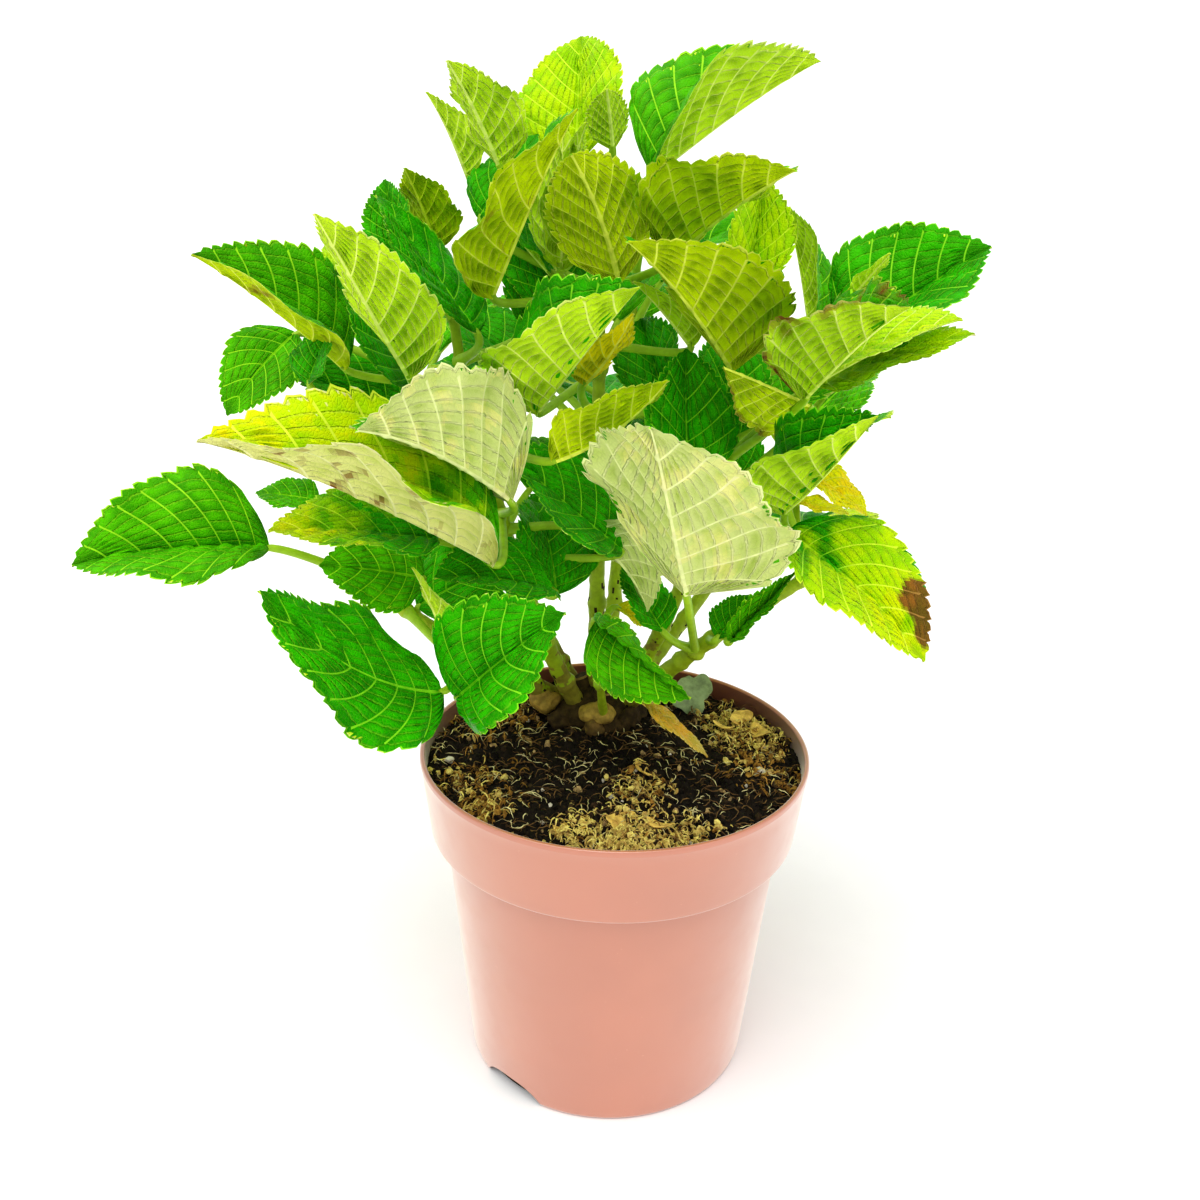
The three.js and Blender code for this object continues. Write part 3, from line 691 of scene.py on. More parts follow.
def leaf_points(path, leaf):
    """Points that stand for a leaf when the rule looks for free space."""
    root = place_on(path, leaf["at"])
    stalk = direction(leaf["stalk_heading"], leaf["stalk_rise"]) * leaf["stalk_length"]
    level = (leaf["heading"], leaf["heading"])
    midrib = walk(root + stalk, level, (leaf["rise"], leaf["rise"] - leaf["bend"]),
                  leaf["length"], BLADE_STEPS)
    share = np.arange(BLADE_STEPS + 1) / BLADE_STEPS
    _, normal, side = axes_at(leaf, share)
    half = np.maximum(outline(share) * leaf["length"] * leaf["width"] / 2, BLADE_TIP_WIDTH)
    fold = math.radians(leaf["fold"])
    points = [[root + stalk * part for part in (0.35, 0.6, 0.85)], midrib[1:]]
    for sign in (1, -1):
        out = sign * side * math.cos(fold) + normal * math.sin(fold)
        edge = (midrib + half[:, None] * out)[1:]
        points += [edge, (edge + midrib[1:]) / 2]
    return np.concatenate(points)


def distance_to(points, others):
    return np.linalg.norm(points[:, None] - others[None], axis=-1).min()


def seeded(seed):
    """Numbers between -1 and 1 that follow from a seed."""
    state = seed
    while True:
        state = (state * 1664525 + 1013904223) % 4294967296
        yield state / 2147483648 - 1


def paired_leaves(shoot, path, others, taken, random):
    pairs = shoot["pairs"]
    grown = []
    for pair in range(pairs["count"]):
        share = pair / (pairs["count"] - 1)
        for side in (0, 180):
            heading = (pairs["turn"] + 90 * pair + side + 12 * next(random) + 360) % 360
            length = lerp(*pairs["blade"], share) * (1 + 0.08 * next(random))
            rise = lerp(8, 48, share) + 8 * next(random)
            tones = [("deep", "pale"), ("mid", "pale"), ("lime", "pale")]
            above, below = tones[(pair + (side > 0)) * 3 // (pairs["count"] + 1)]
            leaf = unpack_leaf((
                lerp(pairs["first"], pairs["last"], share),
                heading, rise + 16, 0.42 * length,
                heading + 15 * next(random), rise, length,
                25 + 10 * next(random), 18 * next(random), 22 + 8 * next(random), 0.72,
                above, below,
            ))
            points = leaf_points(path, leaf)
            facing = pairs["between"][0] <= heading <= pairs["between"][1]
            high = points[:, 2].min() > LOWEST_LEAF
            clear_of_stems = distance_to(points, others) > STEM_SPACE
            if facing and high and clear_of_stems and distance_to(points, taken[0]) > LEAF_SPACE:
                grown.append(leaf)
                taken[0] = np.concatenate([taken[0], points])
    return grown


def grow_leaves():
    """All leaves of each shoot: those given one by one first, then the pairs in the space left."""
    paths = {name: shoot_path(shoot) for name, shoot in SHOOTS.items()}
    leaves = {name: [unpack_leaf(row) for row in s["leaves"]] for name, s in SHOOTS.items()}
    taken = [np.concatenate([leaf_points(paths[name], leaf)
                             for name, grown in leaves.items() for leaf in grown])]
    for index, (name, shoot) in enumerate(SHOOTS.items()):
        if "pairs" in shoot:
            others = np.concatenate([path for other, path in paths.items() if other != name])
            random = seeded(101 + index)
            leaves[name] += paired_leaves(shoot, paths[name], others, taken, random)
    return paths, leaves


# ---- blades

TOOTH = (0, 0.66, 0.95, 1)       # outline of a tooth from its foot to its crest, row by row
TOOTH_LEAN = (-0.05, 0.02, 0.16, 0.34)
ROWS_PER_TOOTH = len(TOOTH)
TEETH_PER_VEIN = 2
ROWS_PER_VEIN = ROWS_PER_TOOTH * TEETH_PER_VEIN
VEIN_STRIP = 0.5                 # width of a side vein's row of faces against the other rows
VEIN_BACK = 0.15                 # how far the side veins start behind their middle, and
VEIN_AHEAD = 0.14                # how far ahead of it they end, as shares of the blade
SKIN = 0.42                      # thickness of a blade
MIDRIB_HALF = 1.1                # half the width of a midrib at its foot
LARGE_BLADE = 50


def smooth(value, low, high):
    share = np.clip((value - low) / (high - low), 0, 1)
    return share * share * (3 - 2 * share)


def midrib_at(leaf, foot, share):
    """Points of the midrib at shares of its length, on the arc that the bend makes."""
    start = math.radians(leaf["rise"])
    turn = math.radians(leaf["bend"]) or 1e-4
    now = start - turn * share
    level = (math.sin(start) - np.sin(now)) / turn
    up = (np.cos(now) - math.cos(start)) / turn
    return foot + around_axis(level, math.radians(leaf["heading"]), up) * leaf["length"]


def blush_levels(layer, share, across, middles, number):
    """How far each face of a blade has gone over to a layer's tone, in whole levels."""
    _, _, along, start, end, *patch = layer
    clouds = Waves(500 + number, 5, 22)(middles)
    if along == "tip":
        field = share + 0.1 * clouds
    elif along == "margin":
        field = np.abs(across) + 0.08 * clouds
    elif along == "spots":
        field = clouds
    else:
        field = 1 + 0.2 * clouds - np.hypot((share - patch[0]) / patch[2],
                                            (across - patch[1]) / patch[3])
    level = np.clip((field - start) / (end - start), 0, 1) * BLUSH_LEVELS
    return np.round(level).astype(int)


def blade_looks(leaf, side, share, across, middles, number, vein):
    """A look for each face of one side of a blade."""
    layers = [layer for layer in BLUSHES.get(leaf["blush"], ()) if layer[1] in (side, "both")]
    levels = [blush_levels(layer, share, across, middles, number) for layer in layers]
    kinds = sum((level * 10 ** n for n, level in enumerate(levels)), np.zeros(share.shape, int))
    looks = np.zeros(share.shape, int)
    for kind in np.unique(kinds):
        name = leaf[side]
        for n, layer in enumerate(layers):
            level = kind // 10 ** n % 10
            if level:
                name += f">{layer[0]}:{level}"
        for part, mask in (("vein", vein), ("blade", ~vein)):
            chosen = mask & (kinds == kind)
            if chosen.any():
                looks[chosen] = look(f"{name}|{side}|{part}")
    return looks


def add_blade(batch, leaf, foot, number):
    """One blade as a closed skin: toothed, folded, quilted between its veins and ribbed below."""
    random = np.random.default_rng(4000 + number)
    length = leaf["length"]
    large = length > LARGE_BLADE
    cells = 7 if large else 5
    veins = 8 if large else 7
    rows = veins * ROWS_PER_VEIN

    step = np.arange(rows) % ROWS_PER_VEIN
    spacing = np.where(step == 0, VEIN_STRIP, 1.0)
    row_at = np.concatenate([[0], np.cumsum(spacing)]) / spacing.sum()
    half_at = np.concatenate([[0, 0.02, 0.04], np.linspace(0.1, 0.93, 2 * cells), [0.984, 1]])
    high = rows + 1
    wide = 2 * len(half_at) - 1
    column = np.abs(np.arange(wide) - wide // 2)
    sign = np.sign(np.arange(wide) - wide // 2)

    middle = row_at - VEIN_BACK * np.sin(np.pi * row_at)
    margin = row_at + VEIN_AHEAD * np.sin(np.pi * row_at)
    half = np.maximum(outline(np.clip(margin, 0, 1)) * length * leaf["width"] / 2, 0.9)
    half[-1] = BLADE_TIP_WIDTH / 2
    away = np.tile(half_at[column], (high, 1))
    beside = np.minimum(MIDRIB_HALF * (1 - 0.8 * row_at ** 0.5) / half, 0.04)[:, None]
    away[:, column == 1] = beside
    away[:, column == 2] = 2.2 * beside
    across = away * sign
    ahead_part = 0.5 * away + 0.5 * away ** 2
    share = middle[:, None] + (margin - middle)[:, None] * ahead_part

    cup = random.uniform(0.1, 0.5)
    recurve = math.radians(random.uniform(8, 30))
    fold = math.radians(leaf["fold"])
    steps = np.linspace(0, 1, 41)
    angle = fold * (1 + cup * (1 - 2 * steps)) + recurve * (0.5 - steps)
    mean = (angle[1:] + angle[:-1]) / 2
    out = np.concatenate([[0], np.cumsum(np.cos(mean) / 40)])
    lift = np.concatenate([[0], np.cumsum(np.sin(mean) / 40)])
    out, lift, angle = (np.interp(away, steps, a) for a in (out, lift, angle))

    twist = dict(leaf)
    twist["roll"] = leaf["roll"] + random.uniform(-3, 3)
    along, normal, side = axes_at(twist, share)
    centre = midrib_at(leaf, foot, share)
    sway = random.uniform(-0.02, 0.02) * length * np.sin(np.pi * share)[..., None]
    centre = centre + side * sway
    reach = (half[:, None] * out * sign)[..., None]
    rise = (half[:, None] * lift)[..., None]
    points = centre + side * reach + normal * rise
    facing = normal * np.cos(angle)[..., None] - side * (sign * np.sin(angle))[..., None]
    outward = side * (sign * np.cos(angle))[..., None] + normal * np.sin(angle)[..., None]

    phase = random.uniform(0, 2 * np.pi, 2)
    turns = random.uniform(1.4, 2.6)
    wave = np.sin(2 * np.pi * turns * share + np.where(across < 0, *phase))
    height = random.uniform(0.05, 0.12) * half[:, None] * away ** 2 * wave
    droop = random.uniform(0.0, 0.09) * length * share ** 3
    points = points - normal * droop[..., None]

    tooth = (np.arange(high) + 3) % ROWS_PER_TOOTH
    toothed = smooth(margin, 0.05, 0.16) * (1 - 0.5 * margin) * smooth(half, 1, 4)
    size = (0.6 + 0.024 * length) * toothed * random.uniform(0.7, 1.3, high)
    pitch = length / (rows / ROWS_PER_TOOTH)
    edge = smooth(away, 0.86, 1.0)
    crest = np.array(TOOTH)[tooth] * size
    swing = np.array(TOOTH_LEAN)[tooth] * pitch * toothed
    points = points + outward * (crest[:, None] * edge)[..., None]
    points = points + along * (swing[:, None] * edge)[..., None]

    phase_row = np.arange(high) % ROWS_PER_VEIN
    on_vein = (phase_row <= 1)[:, None]
    swell = np.where(on_vein[:, 0], 0, np.sin(np.pi * (phase_row - 1) / (ROWS_PER_VEIN - 1)))
    held = smooth(away, 0.02, 0.12) * (1 - 0.8 * smooth(away, 0.84, 1.0))
    held = held * smooth(half, 1.5, 8)[:, None]
    interval = (np.arange(high) - 1) // ROWS_PER_VEIN
    ladder = (column + 1 + random.integers(0, 2, veins + 1)[interval][:, None]) / 2
    bulging = 2 * ladder % 2
    cell = random.uniform(0.6, 1.4, (veins + 1, wide))[interval]
    quilt = 0.016 * length * swell[:, None] ** 0.8 * held * (0.3 + 0.7 * bulging * cell)
    pucker = random.normal(size=share.shape)
    for axis in (0, 1):
        pucker = (np.roll(pucker, 1, axis) + 2 * pucker + np.roll(pucker, -1, axis)) / 4
    height = height + quilt + 0.6 * pucker * held * ~on_vein

    groove = 0.35 * (column == 0) + 0.14 * on_vein * (away < 0.9)
    rib = (1.0 * (column == 0) + 0.3 * (column == 1)) * lerp(1.2, 0.3, share)
    side_rib = on_vein * 0.65 * np.clip(1 - away, 0, 1) ** 0.6 * (length / 80) ** 0.5
    skin = SKIN * (1 - away ** 8)
    upper = points + facing * (height - groove * (skin > 0))[..., None]
    lower = points + facing * (height - skin - np.maximum(rib, side_rib) * (skin > 0))[..., None]

    upper_at = np.arange(high * wide).reshape(high, wide)
    inner = upper_at[:, 1:-1].size
    lower_at = upper_at.copy()
    lower_at[:, 1:-1] = high * wide + np.arange(inner).reshape(high, wide - 2)
    vertices = np.concatenate([upper.reshape(-1, 3), lower[:, 1:-1].reshape(-1, 3)])
    # the last value is how far each point bulges in its cell; the leaf skins paint light and shade from
    # it
    place = np.stack([
        length * share, half[:, None] * across + 64.0 * number, ladder,
        swell[:, None] * held * bulging], -1)
    places = np.concatenate([place.reshape(-1, 4), place[:, 1:-1].reshape(-1, 4)])

    quads = grid_quads(high, wide).reshape(rows, wide - 1, 4)
    above = upper_at.ravel()[quads]
    below = lower_at.ravel()[quads][..., ::-1]
    ends = []
    for row, order in ((0, 1), (rows, -1)):
        u, low = upper_at[row], lower_at[row]
        strip = np.stack([u[1:-2], low[1:-2], low[2:-1], u[2:-1]], -1)[:, ::order]
        tips = np.array([[u[0], low[1], u[1]], [u[-2], low[-2], u[-1]]])[:, ::order]
        ends += [strip, tips]

    face_share, face_across, middles = (
        (grid[:-1, :-1] + grid[1:, 1:]) / 2 for grid in (share, across, points))
    outer = np.maximum(column[:-1], column[1:])
    vein = (step == 0)[:, None] & (outer < len(half_at) - 2)
    vein = vein | (outer == 1) | (outer == len(half_at) - 1)
    seen = [blade_looks(leaf, s, face_share, face_across, middles, number, vein)
            for s in ("above", "below")]
    plain = look(f"{leaf['above']}|above|vein")
    batch.add(
        vertices,
        [above.reshape(-1, 4), below.reshape(-1, 4), *ends],
        [seen[0].ravel(), seen[1].ravel(), *[plain] * 4],
        places,
    )


# ---- stalks, twigs and stems

STALK_SIDES = 10
STALK_POINTS = 14
TWIG_SIDES = 16
STEM_SIDES = 22


def add_stalk(batch, path, leaf):
    """A leaf's stalk, which clasps the shoot with a wide foot and curves into the midrib."""
    root = place_on(path, leaf["at"])
    along = direction(leaf["stalk_heading"], leaf["stalk_rise"])
    foot = root + along * leaf["stalk_length"]
    ahead = direction(leaf["heading"], leaf["rise"])
    ease = min(0.25 * leaf["stalk_length"], 9)
    knots = [root, root + along * ease, foot - ahead * ease, foot + ahead * 2]
    t = np.linspace(0, 1, STALK_POINTS)[:, None]
    curve = ((1 - t) ** 3 * knots[0] + 3 * (1 - t) ** 2 * t * knots[1]
             + 3 * (1 - t) * t ** 2 * knots[2] + t ** 3 * knots[3])
    share = t[:, 0]
    radii = 1.5 + 0.5 * (1 - share) + 1.5 * np.exp(-share * leaf["stalk_length"] / 5)
    radii = radii - 0.45 * smooth(share, 0.9, 1)
    tube(batch, curve, radii, STALK_SIDES, look("stalk"))
    return foot


def limb_relief(points, radii, sides, joints, seed, strength):
    """Radii with a swelling at each joint, and a wobble for each corner of each ring."""
    height = np.concatenate([[0], np.cumsum(np.linalg.norm(np.diff(points, axis=0), axis=1))])
    swollen = radii.copy()
    for joint in joints:
        swollen += 0.22 * radii * np.exp(-((height - joint) / 2.2) ** 2)
    around = around_axis(3, circle(sides)[None], height[:, None])
    return swollen, 1 + strength * Waves(seed, 1.5, 9)(around)


def add_twig(batch, shoot, path, leaves, seed):
    """The leafy end of a shoot, ringed where leaves stand, with a pointed bud."""
    share = np.linspace(shoot["bare"], 1, 64)
    points = place_on(path, share)
    radii = lerp(shoot["radii"][0], shoot["radii"][1], share)
    joints = [(leaf["at"] - shoot["bare"]) * shoot["length"] for leaf in leaves]
    radii, wobble = limb_relief(points, radii, TWIG_SIDES, joints, seed, 0.03)
    tube(batch, points, radii, TWIG_SIDES, look("stem"), wobble)
    ahead = unit(path[-1] - path[-2])
    bud = np.linspace(-0.1, 1, 10)
    shape = np.sin(np.pi * np.clip(0.35 + 0.65 * bud, 0, 0.99)) ** 0.8
    tube(batch, path[-1] + np.outer(bud * 9, ahead), 2.6 * shape, 10, look("bud"))


def add_stem(batch, shoot, path, seed):
    """A bare stem with leaf scars, faint ridges and short dark breathing pores."""
    random = np.random.default_rng(seed)
    rows = int(shoot["length"] * shoot["bare"] / 0.9)
    share = np.linspace(0, shoot["bare"] + 0.012, rows)
    points = place_on(path, share)
    radii = lerp(shoot["radii"][0], shoot["radii"][1], share)
    scars = np.arange(16, shoot["length"] * shoot["bare"], 27.0) + random.uniform(-4, 4)
    radii, wobble = limb_relief(points, radii, STEM_SIDES, scars, seed, 0.035)
    age = share[:-1, None] / shoot["bare"] + 3 * (wobble[:-1] - 1)
    seen = np.where(age > 0.3, look("stem"), look("old stem"))
    for _ in range(rows // 3):
        row = random.integers(2, rows - 5)
        side = random.integers(STEM_SIDES)
        seen[row:row + random.integers(1, 4), side] = look("lenticel")
    tube(batch, points, radii, STEM_SIDES, seen, wobble)


# ---- crown, soil and pot


# Swollen buds on the crown: place, radii and look.
KNOBS = (
    ((-33, 31, 157), (7, 6, 6), "knob"),
    ((-24, 24, 151), (6, 5, 5), "bark"),
    ((-8, 21, 156), (8, 6, 5), "knob"),
    ((-10, 17, 149), (5, 4, 7), "knob dark"),
    ((6, 24, 152), (6, 5, 5), "bark"),
)


def add_lump(batch, place, radii, seen, seed, rough=0.08, heading=0, tilt=0, curl=0):
    """A closed uneven ball of its own proportions, turned, tilted and curled up at its ends."""
    rows, sides = 30, 56
    down = np.linspace(0.02, np.pi - 0.02, rows)[:, None]
    body = around_axis(np.sin(down), circle(sides)[None], np.cos(down)) * radii
    size = max(radii)
    waves = rough * Waves(seed, size / 2, 2 * size)(body) + 0.02 * Waves(seed + 1, 2, 5)(body)
    body = body * (1 + waves)[..., None]
    body[..., 2] += curl * (body[..., 0] / size) ** 2
    turned = Matrix.Rotation(math.radians(heading), 3, "Z") @ Matrix.Rotation(
        math.radians(tilt), 3, "X")
    points = np.asarray(place) + body @ np.array(turned).T
    ends = points[[0, -1]].mean(1)
    add_rings(batch, points, ends, look(seen), [look(seen)] * 2, -1)


def add_crown(batch):
    """The woody knob between the stems: a lumpy dome with swollen buds and cut stumps."""
    # the bark colour holds painted shade under the leaves besides its own brown
    add_lump(batch, CROWN_PLACE, CROWN_RADII, "bark", 11, 0.07)
    for number, (place, radii, seen) in enumerate(KNOBS):
        add_lump(batch, place, radii, seen, 40 + number, 0.1)
    for number, (heading, rise) in enumerate(STUMP_LEANS):
        reach = STUMP_LENGTH + CROWN_RADII[2] / 2
        path = walk(CROWN_PLACE, (heading, heading), (rise, rise), reach, 22)
        radii, wobble = limb_relief(path, np.full(23, STUMP_RADIUS), 20, [reach - 5], 30 + number,
                                    0.05)
        seen = np.full((22, 20), look("bark"))
        seen[-1] = look("cut wood")
        radii[-1] *= 0.86
        tube(batch, path, radii, 20, seen, wobble)


def inner_radius(height):
    """Radius of the pot's inside at a height on the collar."""
    return lerp(RIM_RADIUS, COLLAR_FOOT_RADIUS, (POT_HEIGHT - height) / COLLAR_HEIGHT) - POT_WALL


def soil_height(x, y):
    """Height of the soil's surface: a low mound with dips and clods."""
    share = np.hypot(x, y) / inner_radius(SOIL_EDGE_HEIGHT)
    flat = np.stack(np.broadcast_arrays(x, y, 0.0), -1)
    rough = 1.2 * Waves(21, 14, 40)(flat) + 0.55 * Waves(22, 3, 9)(flat)
    mound = SOIL_EDGE_HEIGHT + SOIL_MOUND * (1 - np.minimum(share, 1) ** 2)
    return mound - 1.0 + rough * (1 - 0.6 * share ** 6)


def add_soil(batch):
    """The soil as a closed body: rough top, and sides that follow the pot."""
    rings, sides = 90, 300
    edge = inner_radius(SOIL_EDGE_HEIGHT) - 0.5
    angle = circle(sides)[None]
    x, y, _ = np.moveaxis(around_axis(np.linspace(0.6, edge, rings)[:, None], angle, 0.0), -1, 0)
    grain = 0.35 * np.random.default_rng(5).normal(size=x.shape)
    top = np.stack([x, y, soil_height(x, y) + grain], -1)
    inset = POT_WALL + 0.6
    step = POT_HEIGHT - COLLAR_HEIGHT
    wall = np.array([
        (inner_radius(step + 8) - 0.6, step + 8),
        (BODY_TOP_RADIUS - inset, step - 2),
        (BASE_RADIUS - inset, POT_WALL + 1.2),
    ])
    walls = around_axis(wall[:, :1], angle, wall[:, 1:])
    ends = [(0, 0, soil_height(0.0, 0.0)), (0, 0, POT_WALL + 1.2)]
    add_rings(batch, np.concatenate([top, walls]), ends, look("peat"), [look("peat")] * 2, -1)


def icosahedron():
    golden = (1 + 5 ** 0.5) / 2
    corners = unit(np.array([np.roll((0, a, b), -turn)
                             for a in (-1, 1) for b in (-golden, golden) for turn in range(3)]))
    trios = np.array(list(combinations(range(12), 3)))
    sides = np.linalg.norm(corners[trios] - corners[np.roll(trios, 1, 1)], axis=2)
    trios = trios[sides.max(1) < 1.1]
    a, b, c = corners[trios].swapaxes(0, 1)
    inward = (np.cross(b - a, c - a) * (a + b + c)).sum(1) < 0
    trios[inward] = trios[inward][:, [0, 2, 1]]
    return corners, trios


BALL, BALL_FACES = icosahedron()


def turned_at_random(random, count):
    """Random rotations as matrices, from random unit quaternions."""
    turns = unit(random.normal(size=(count, 4)))
    cross = np.cross(np.eye(3), turns[:, None, 1:])
    return np.eye(3) + 2 * turns[:, :1, None] * cross + 2 * cross @ cross


def inside_pot(points):
    """Points, moved in where they would reach into the pot's wall."""
    most = inner_radius(SOIL_EDGE_HEIGHT) - 0.3
    away = np.hypot(points[..., 0], points[..., 1])
    points[..., :2] *= np.minimum(1, most / away)[..., None]
    return points


def add_crumbs(batch, random, places, sizes, shape, looks, power=1):
    """Small irregular lumps, each an icosahedron of its own proportions."""
    count = len(places)
    sizes = random.uniform(*sizes, (count, 1, 1)) ** power
    body = BALL[None] * (1 + random.uniform(-0.25, 0.25, (count, 12, 1))) * np.array(shape)
    body = np.einsum("nij,nkj->nki", turned_at_random(random, count), body)
    points = inside_pot(places[:, None] + body * sizes)
    faces = BALL_FACES[None] + 12 * np.arange(count)[:, None, None]
    seen = np.repeat(random.choice(looks, count), len(BALL_FACES))
    batch.add(points, [faces.reshape(-1, 3)], [seen])


def add_fibres(batch, random, places, lengths, radii, looks, arch=0.25):
    """Thin bent threads that lie on the soil and lift off it here and there."""
    count, steps, sides = len(places), 7, 3
    lengths = random.uniform(*lengths, count)
    radii = random.uniform(*radii, count)[:, None]
    turn = random.uniform(0, 2 * np.pi, count)[:, None]
    turn = turn + np.cumsum(random.normal(0, 0.45, (count, steps)), axis=1)
    move = around_axis(1, turn, random.normal(0, 0.25, turn.shape))
    line = np.cumsum(move, axis=1) * (lengths / steps)[:, None, None]
    line = line - line.mean(1, keepdims=True)
    share = np.linspace(0, 1, steps)
    line[..., 2] += np.sin(np.pi * share) * (lengths * arch * random.random(count))[:, None]
    line = line + places[:, None]
    angle = circle(sides)[:, None]
    aside = np.stack([-np.sin(turn), np.cos(turn), np.zeros_like(turn)], -1)[:, :, None]
    ring = aside * np.cos(angle) + np.array([0, 0, 1.0]) * np.sin(angle)
    thin = radii * (1 - 0.6 * np.abs(2 * share - 1) ** 3)
    points = inside_pot(line[:, :, None] + ring * thin[..., None, None])
    wall = grid_quads(steps, sides, True)
    caps = np.array([[0, 2, 1], [0, 1, 2]]) + np.array([[0], [(steps - 1) * sides]])
    start = (steps * sides) * np.arange(count)[:, None, None]
    seen = random.choice(looks, count)
    batch.add(
        points,
        [(wall[None] + start).reshape(-1, 4), (caps[None] + start).reshape(-1, 3)],
        [np.repeat(seen, len(wall)), np.repeat(seen, 2)],
    )


def on_soil(random, count, lift=0.0):
    """Random places on the soil's surface."""
    radius = (inner_radius(SOIL_EDGE_HEIGHT) - 1.5) * np.sqrt(random.random(count))
    places = around_axis(radius, random.uniform(0, 2 * np.pi, count), lift)
    places[:, 2] += soil_height(*places.T[:2])
    return places


# Patches of moss and dried crust: heading and distance from the middle, spread, and share pale.
MOSS_CLUMPS = (
    (272, 70, 12, 0.95), (284, 72, 10, 0.95), (258, 66, 12, 0.9), (296, 66, 14, 0.8),
    (280, 58, 14, 0.85), (205, 66, 20, 0.35), (275, 70, 10, 0.95), (222, 70, 10, 0.4),
    (22, 64, 16, 0.85), (34, 66, 14, 0.85), (350, 66, 20, 0.3), (10, 66, 14, 0.7),
    (288, 34, 12, 0.8), (60, 68, 16, 0.5), (100, 60, 24, 0.3), (150, 62, 24, 0.3),
)


# Single things on the soil: place, radii, heading, tilt and curl, and look.
LOOSE = (
    ((37, 46, 155), (9.5, 9, 0.5), 10, 52, 2, "scrap"),
    ((63, -13, 147.5), (2.4, 2, 1.8), 30, 0, 0, "grit"),
    ((-72, -7, 146), (2, 1.8, 1.5), 0, 10, 0, "grit"),
    ((3, -55, 147), (7, 4, 0.6), 20, 25, 2.5, "flake"),
    ((-13, -59, 147), (5, 4, 0.6), 100, -20, 2, "flake"),
    ((-22, -62, 147), (3.6, 3, 0.6), 50, 30, 1.5, "flake"),
    ((18, -57, 147), (6, 3.4, 0.6), 160, 15, 2, "flake"),
    ((12, -20, 150), (6, 2.6, 0.6), 120, 35, 1.5, "flake"),
    ((58, 32, 149), (7, 4, 0.6), 40, 25, 2.5, "flake"),
    ((66, 22, 148), (6, 4, 0.6), 110, -15, 2, "flake"),
    ((50, 24, 149), (5, 3, 0.6), 150, 20, 1.5, "flake"),
)


def moss_places(random, count):
    """Places in the clumps, and whether each is pale."""
    clump = random.integers(len(MOSS_CLUMPS), size=count)
    heading, distance, spread, pale = np.array(MOSS_CLUMPS, float)[clump].T
    places = around_axis(distance, np.radians(heading), 0.0)
    places[:, :2] += random.normal(size=(count, 2)) * spread[:, None] * 0.5
    most = inner_radius(SOIL_EDGE_HEIGHT) - 1.5
    places[:, :2] *= np.minimum(1, most / np.hypot(*places.T[:2]))[:, None]
    places[:, 2] = soil_height(*places.T[:2])
    return places, random.random(count) < pale


def add_litter(crumbs, fibres):
    """Everything loose on the soil."""
    random = np.random.default_rng(77)
    dark = [look("crumb dark"), look("crumb dark"), look("crumb"), look("peat")]
    for count, lift, sizes, shape, looks in (
        (2400, 0, (0.5, 1.6), (1, 0.8, 0.6), dark),
        (420, 0, (1.2, 2.8), (1, 0.7, 0.5), dark + [look("crumb pale")]),
        (26, 0.6, (0.7, 1.5), (1, 0.9, 0.8), [look("grit")]),
    ):
        add_crumbs(crumbs, random, on_soil(random, count, lift), sizes, shape, looks)
    places, pale = moss_places(random, 2300)
    for group, name in ((pale, "moss pale"), (~pale, "moss")):
        chosen = places[group]
        chosen[:, 2] += random.uniform(0, 2.2, len(chosen))
        looks = [look(name), look(name), look("crumb")]
        add_crumbs(crumbs, random, chosen, (0.5, 2.0), (1, 0.75, 0.25), looks, 1.2)
        add_fibres(fibres, random, chosen, (2, 7), (0.2, 0.45), [look(name)], 0.5)
    for number, (place, radii, heading, tilt, curl, seen) in enumerate(LOOSE):
        add_lump(crumbs, place, radii, seen, 60 + number, 0.12, heading, tilt, curl)
    tan = [look("fibre"), look("fibre dark"), look("fibre dark")]
    add_fibres(fibres, random, on_soil(random, 1300, 0.6), (3, 11), (0.14, 0.3), tan)
    add_fibres(fibres, random, on_soil(random, 50, 1.0), (12, 24), (0.2, 0.35), tan, 0.12)


def arc(centre, radius, start, end, steps):
    angle = np.radians(np.linspace(start, end, steps))
    return centre + radius * np.stack([np.cos(angle), np.sin(angle)], -1)


def pot_outlines():
    """Half section of the pot as radius and height: the outside up to the lip, the inside down."""
    step = POT_HEIGHT - COLLAR_HEIGHT
    lip = 1.1
    slope = (RIM_RADIUS - COLLAR_FOOT_RADIUS) / COLLAR_HEIGHT
    outside = np.concatenate([
        [(0.5, 0)],
        np.linspace((8, 0), (BASE_RADIUS - 3, 0), 8),
        arc((BASE_RADIUS - 2.2, 2.2), 2.2, -90, -2, 7),
        np.linspace((BASE_RADIUS + 0.3, 5), (BODY_TOP_RADIUS, step - 0.6), 24),
        arc((BODY_TOP_RADIUS + 1.0, step - 0.8), 1.0, 180, 90, 4),
        arc((COLLAR_FOOT_RADIUS - 1.6, step + 1.3), 1.4, -88, -4, 6),
        np.linspace((COLLAR_FOOT_RADIUS, step + 3), (RIM_RADIUS - 0.45, POT_HEIGHT - 4.2), 10),
        arc((RIM_RADIUS - lip, POT_HEIGHT - 2.3), lip, -20, 20, 4),
        arc((RIM_RADIUS - lip, POT_HEIGHT - lip), lip, 20, 170, 8),
    ])
    drop = np.linspace(2, 30, 10)
    inside = np.concatenate([
        np.stack([RIM_RADIUS - POT_WALL - 0.4 - slope * drop, POT_HEIGHT - drop], -1),
        [(COLLAR_FOOT_RADIUS - POT_WALL, step + POT_WALL + 2),
         (BODY_TOP_RADIUS - POT_WALL + 1, step + POT_WALL)],
        np.linspace((BODY_TOP_RADIUS - POT_WALL, step), (BASE_RADIUS - POT_WALL, POT_WALL + 2), 20),
        [(BASE_RADIUS - POT_WALL - 2, POT_WALL), (8, POT_WALL), (0.5, POT_WALL)],
    ])
    return outside, inside


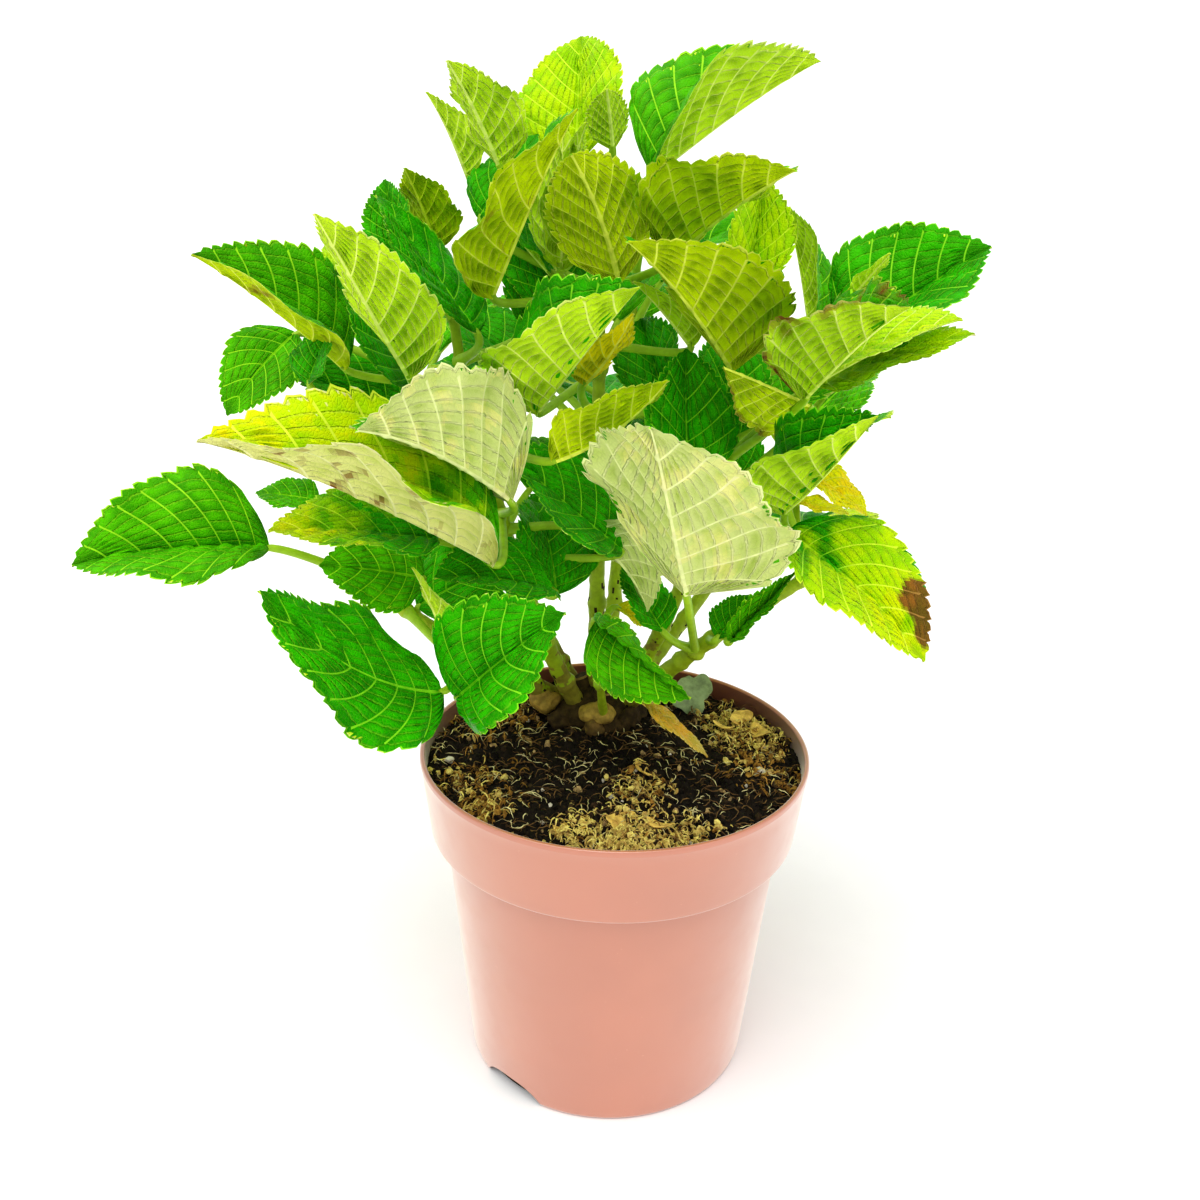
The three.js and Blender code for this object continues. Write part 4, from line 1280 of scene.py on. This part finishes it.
def slot_cutter(heading):
    """A low arch through the foot of the wall, rounded where it meets the base."""
    width = np.linspace(-1, 1, 33)
    x = np.concatenate([[-1], width, [1]]) * SLOT_WIDTH / 2
    z = np.concatenate([[-1], (1 - np.abs(width) ** 2.6) ** 0.75, [-1]]) * SLOT_HEIGHT
    spin = np.radians(heading - 270)
    points = np.concatenate([
        np.stack([x * np.cos(spin) - y * np.sin(spin), x * np.sin(spin) + y * np.cos(spin), z], -1)
        for y in (-BASE_RADIUS - SLOT_REACH, -BASE_RADIUS + SLOT_REACH)])
    count = len(x)
    ends = [list(range(count))[::-1], list(range(count, 2 * count))]
    mesh = bpy.data.meshes.new("slot")
    mesh.from_pydata((points * MM).tolist(), [], ends + grid_quads(2, count, True).tolist())
    return in_scene("slot", mesh)


def make_pot():
    batch = Batch()
    outside, inside = pot_outlines()
    half = np.concatenate([outside, inside])
    sides = 200
    within = np.repeat(np.arange(len(half) - 1) >= len(outside) - 1, sides)
    # the inside wall and floor take the darker colour, which is painted shade
    seen = np.where(within, look("pot inside painted shade"), look("pot"))
    wall = around_axis(half[:, :1], circle(sides)[None], half[:, 1:])
    middles = [(0, 0, 0), (0, 0, POT_WALL)]
    add_rings(batch, wall, middles, seen, [look("pot"), look("pot inside painted shade")])
    pot = batch.build("nursery_pot", "pot", 50, "pot")
    for heading in SLOT_HEADINGS:
        cutter = slot_cutter(heading)
        cut = pot.modifiers.new("slot", "BOOLEAN")
        cut.operation = "DIFFERENCE"
        cut.solver = "EXACT"
        cut.object = cutter
        bpy.context.view_layer.objects.active = pot
        bpy.ops.object.modifier_apply(modifier=cut.name)
        bpy.data.objects.remove(cutter)
    pot.data.set_sharp_from_angle(angle=math.radians(50))


# ---- the plant


def make_plant():
    paths, leaves = grow_leaves()
    number = 0
    for index, (name, shoot) in enumerate(SHOOTS.items()):
        blades, twigs = Batch(), Batch()
        for leaf in leaves[name]:
            foot = add_stalk(twigs, paths[name], leaf)
            add_blade(blades, leaf, foot, number)
            number += 1
        add_twig(twigs, shoot, paths[name], leaves[name], 200 + index)
        blades.build(f"leaves_{name}", "leaf", 75, f"foliage_{name}")
        twigs.build(f"twigs_{name}", "stem", 60)
        if shoot["bare"]:
            stem = Batch()
            add_stem(stem, shoot, paths[name], 300 + index)
            stem.build(f"bark_{name}", "stem", 60, f"stem_{name}")
    crown = Batch()
    add_crown(crown)
    crown.build("woody_crown", "bark", 50, "crown")


def make_soil():
    body, crumbs, fibres = Batch(), Batch(), Batch()
    add_soil(body)
    body.build("soil_body", "soil", 180, "soil")
    add_litter(crumbs, fibres)
    crumbs.build("soil_crumbs", "soil", 40)
    fibres.build("soil_fibres", "soil", 60)


# ---- camera, light and floor

CAMERA_PLACE = (-0.008, -0.5044, 0.4282)
CAMERA_DOWN = 22.4
CAMERA_ROLL = 1.42
LENS = 39.0
SKY_LIGHT = 0.72
SKY_SEEN = 1.05
FLOOR_REACH = 60


def make_camera():
    data = bpy.data.cameras.new("camera")
    data.lens = LENS
    data.sensor_width = 36
    camera = in_scene("camera", data)
    tilt = Matrix.Rotation(math.radians(90 - CAMERA_DOWN), 4, "X")
    roll = Matrix.Rotation(math.radians(CAMERA_ROLL), 4, "Z")
    camera.matrix_world = Matrix.Translation(CAMERA_PLACE) @ tilt @ roll
    bpy.context.scene.camera = camera


def make_sun(name, heading, height, softness, strength):
    """A broad lamp far away, as a softbox that lights the plant and all the floor alike."""
    data = bpy.data.lights.new(name, "SUN")
    data.angle = math.radians(softness)
    data.energy = strength
    lamp = in_scene(name, data)
    lamp.rotation_euler = (math.radians(90 - height), 0, math.radians(heading + 90))


def make_studio():
    sky = Nodes("studio", bpy.data.worlds, "Background")
    seen = sky.add("LightPath", {}, "Is Camera Ray")
    strength = sky.spread(seen, 0, 1, SKY_LIGHT, SKY_SEEN)
    sky.fill(sky.shader, {"Color": (1, 1, 1, 1), "Strength": strength})
    bpy.context.scene.world = sky.block
    make_sun("key", 230, 66, 60, 1.6)
    make_sun("fill", 320, 35, 60, 0.4)
    mesh = bpy.data.meshes.new("floor")
    corners = [(-1, -1), (1, -1), (1, 1), (-1, 1)]
    mesh.from_pydata([(x * FLOOR_REACH, y * FLOOR_REACH, 0) for x, y in corners], [], [range(4)])
    nodes = Nodes("floor")
    paper = nodes.noise(nodes.place(), 40, 3.0)
    white = nodes.blend(paper, np.full(3, 0.9), np.full(3, 0.93))
    mesh.materials.append(nodes.finish(white, 0.7, nodes.bump(paper, 0.02, 0.001), 0.2))
    in_scene("floor", mesh)
    bpy.context.scene.view_settings.view_transform = "Standard"
    bpy.context.scene.view_settings.look = "Medium High Contrast"


make_camera()
make_studio()
make_pot()
make_soil()
make_plant()
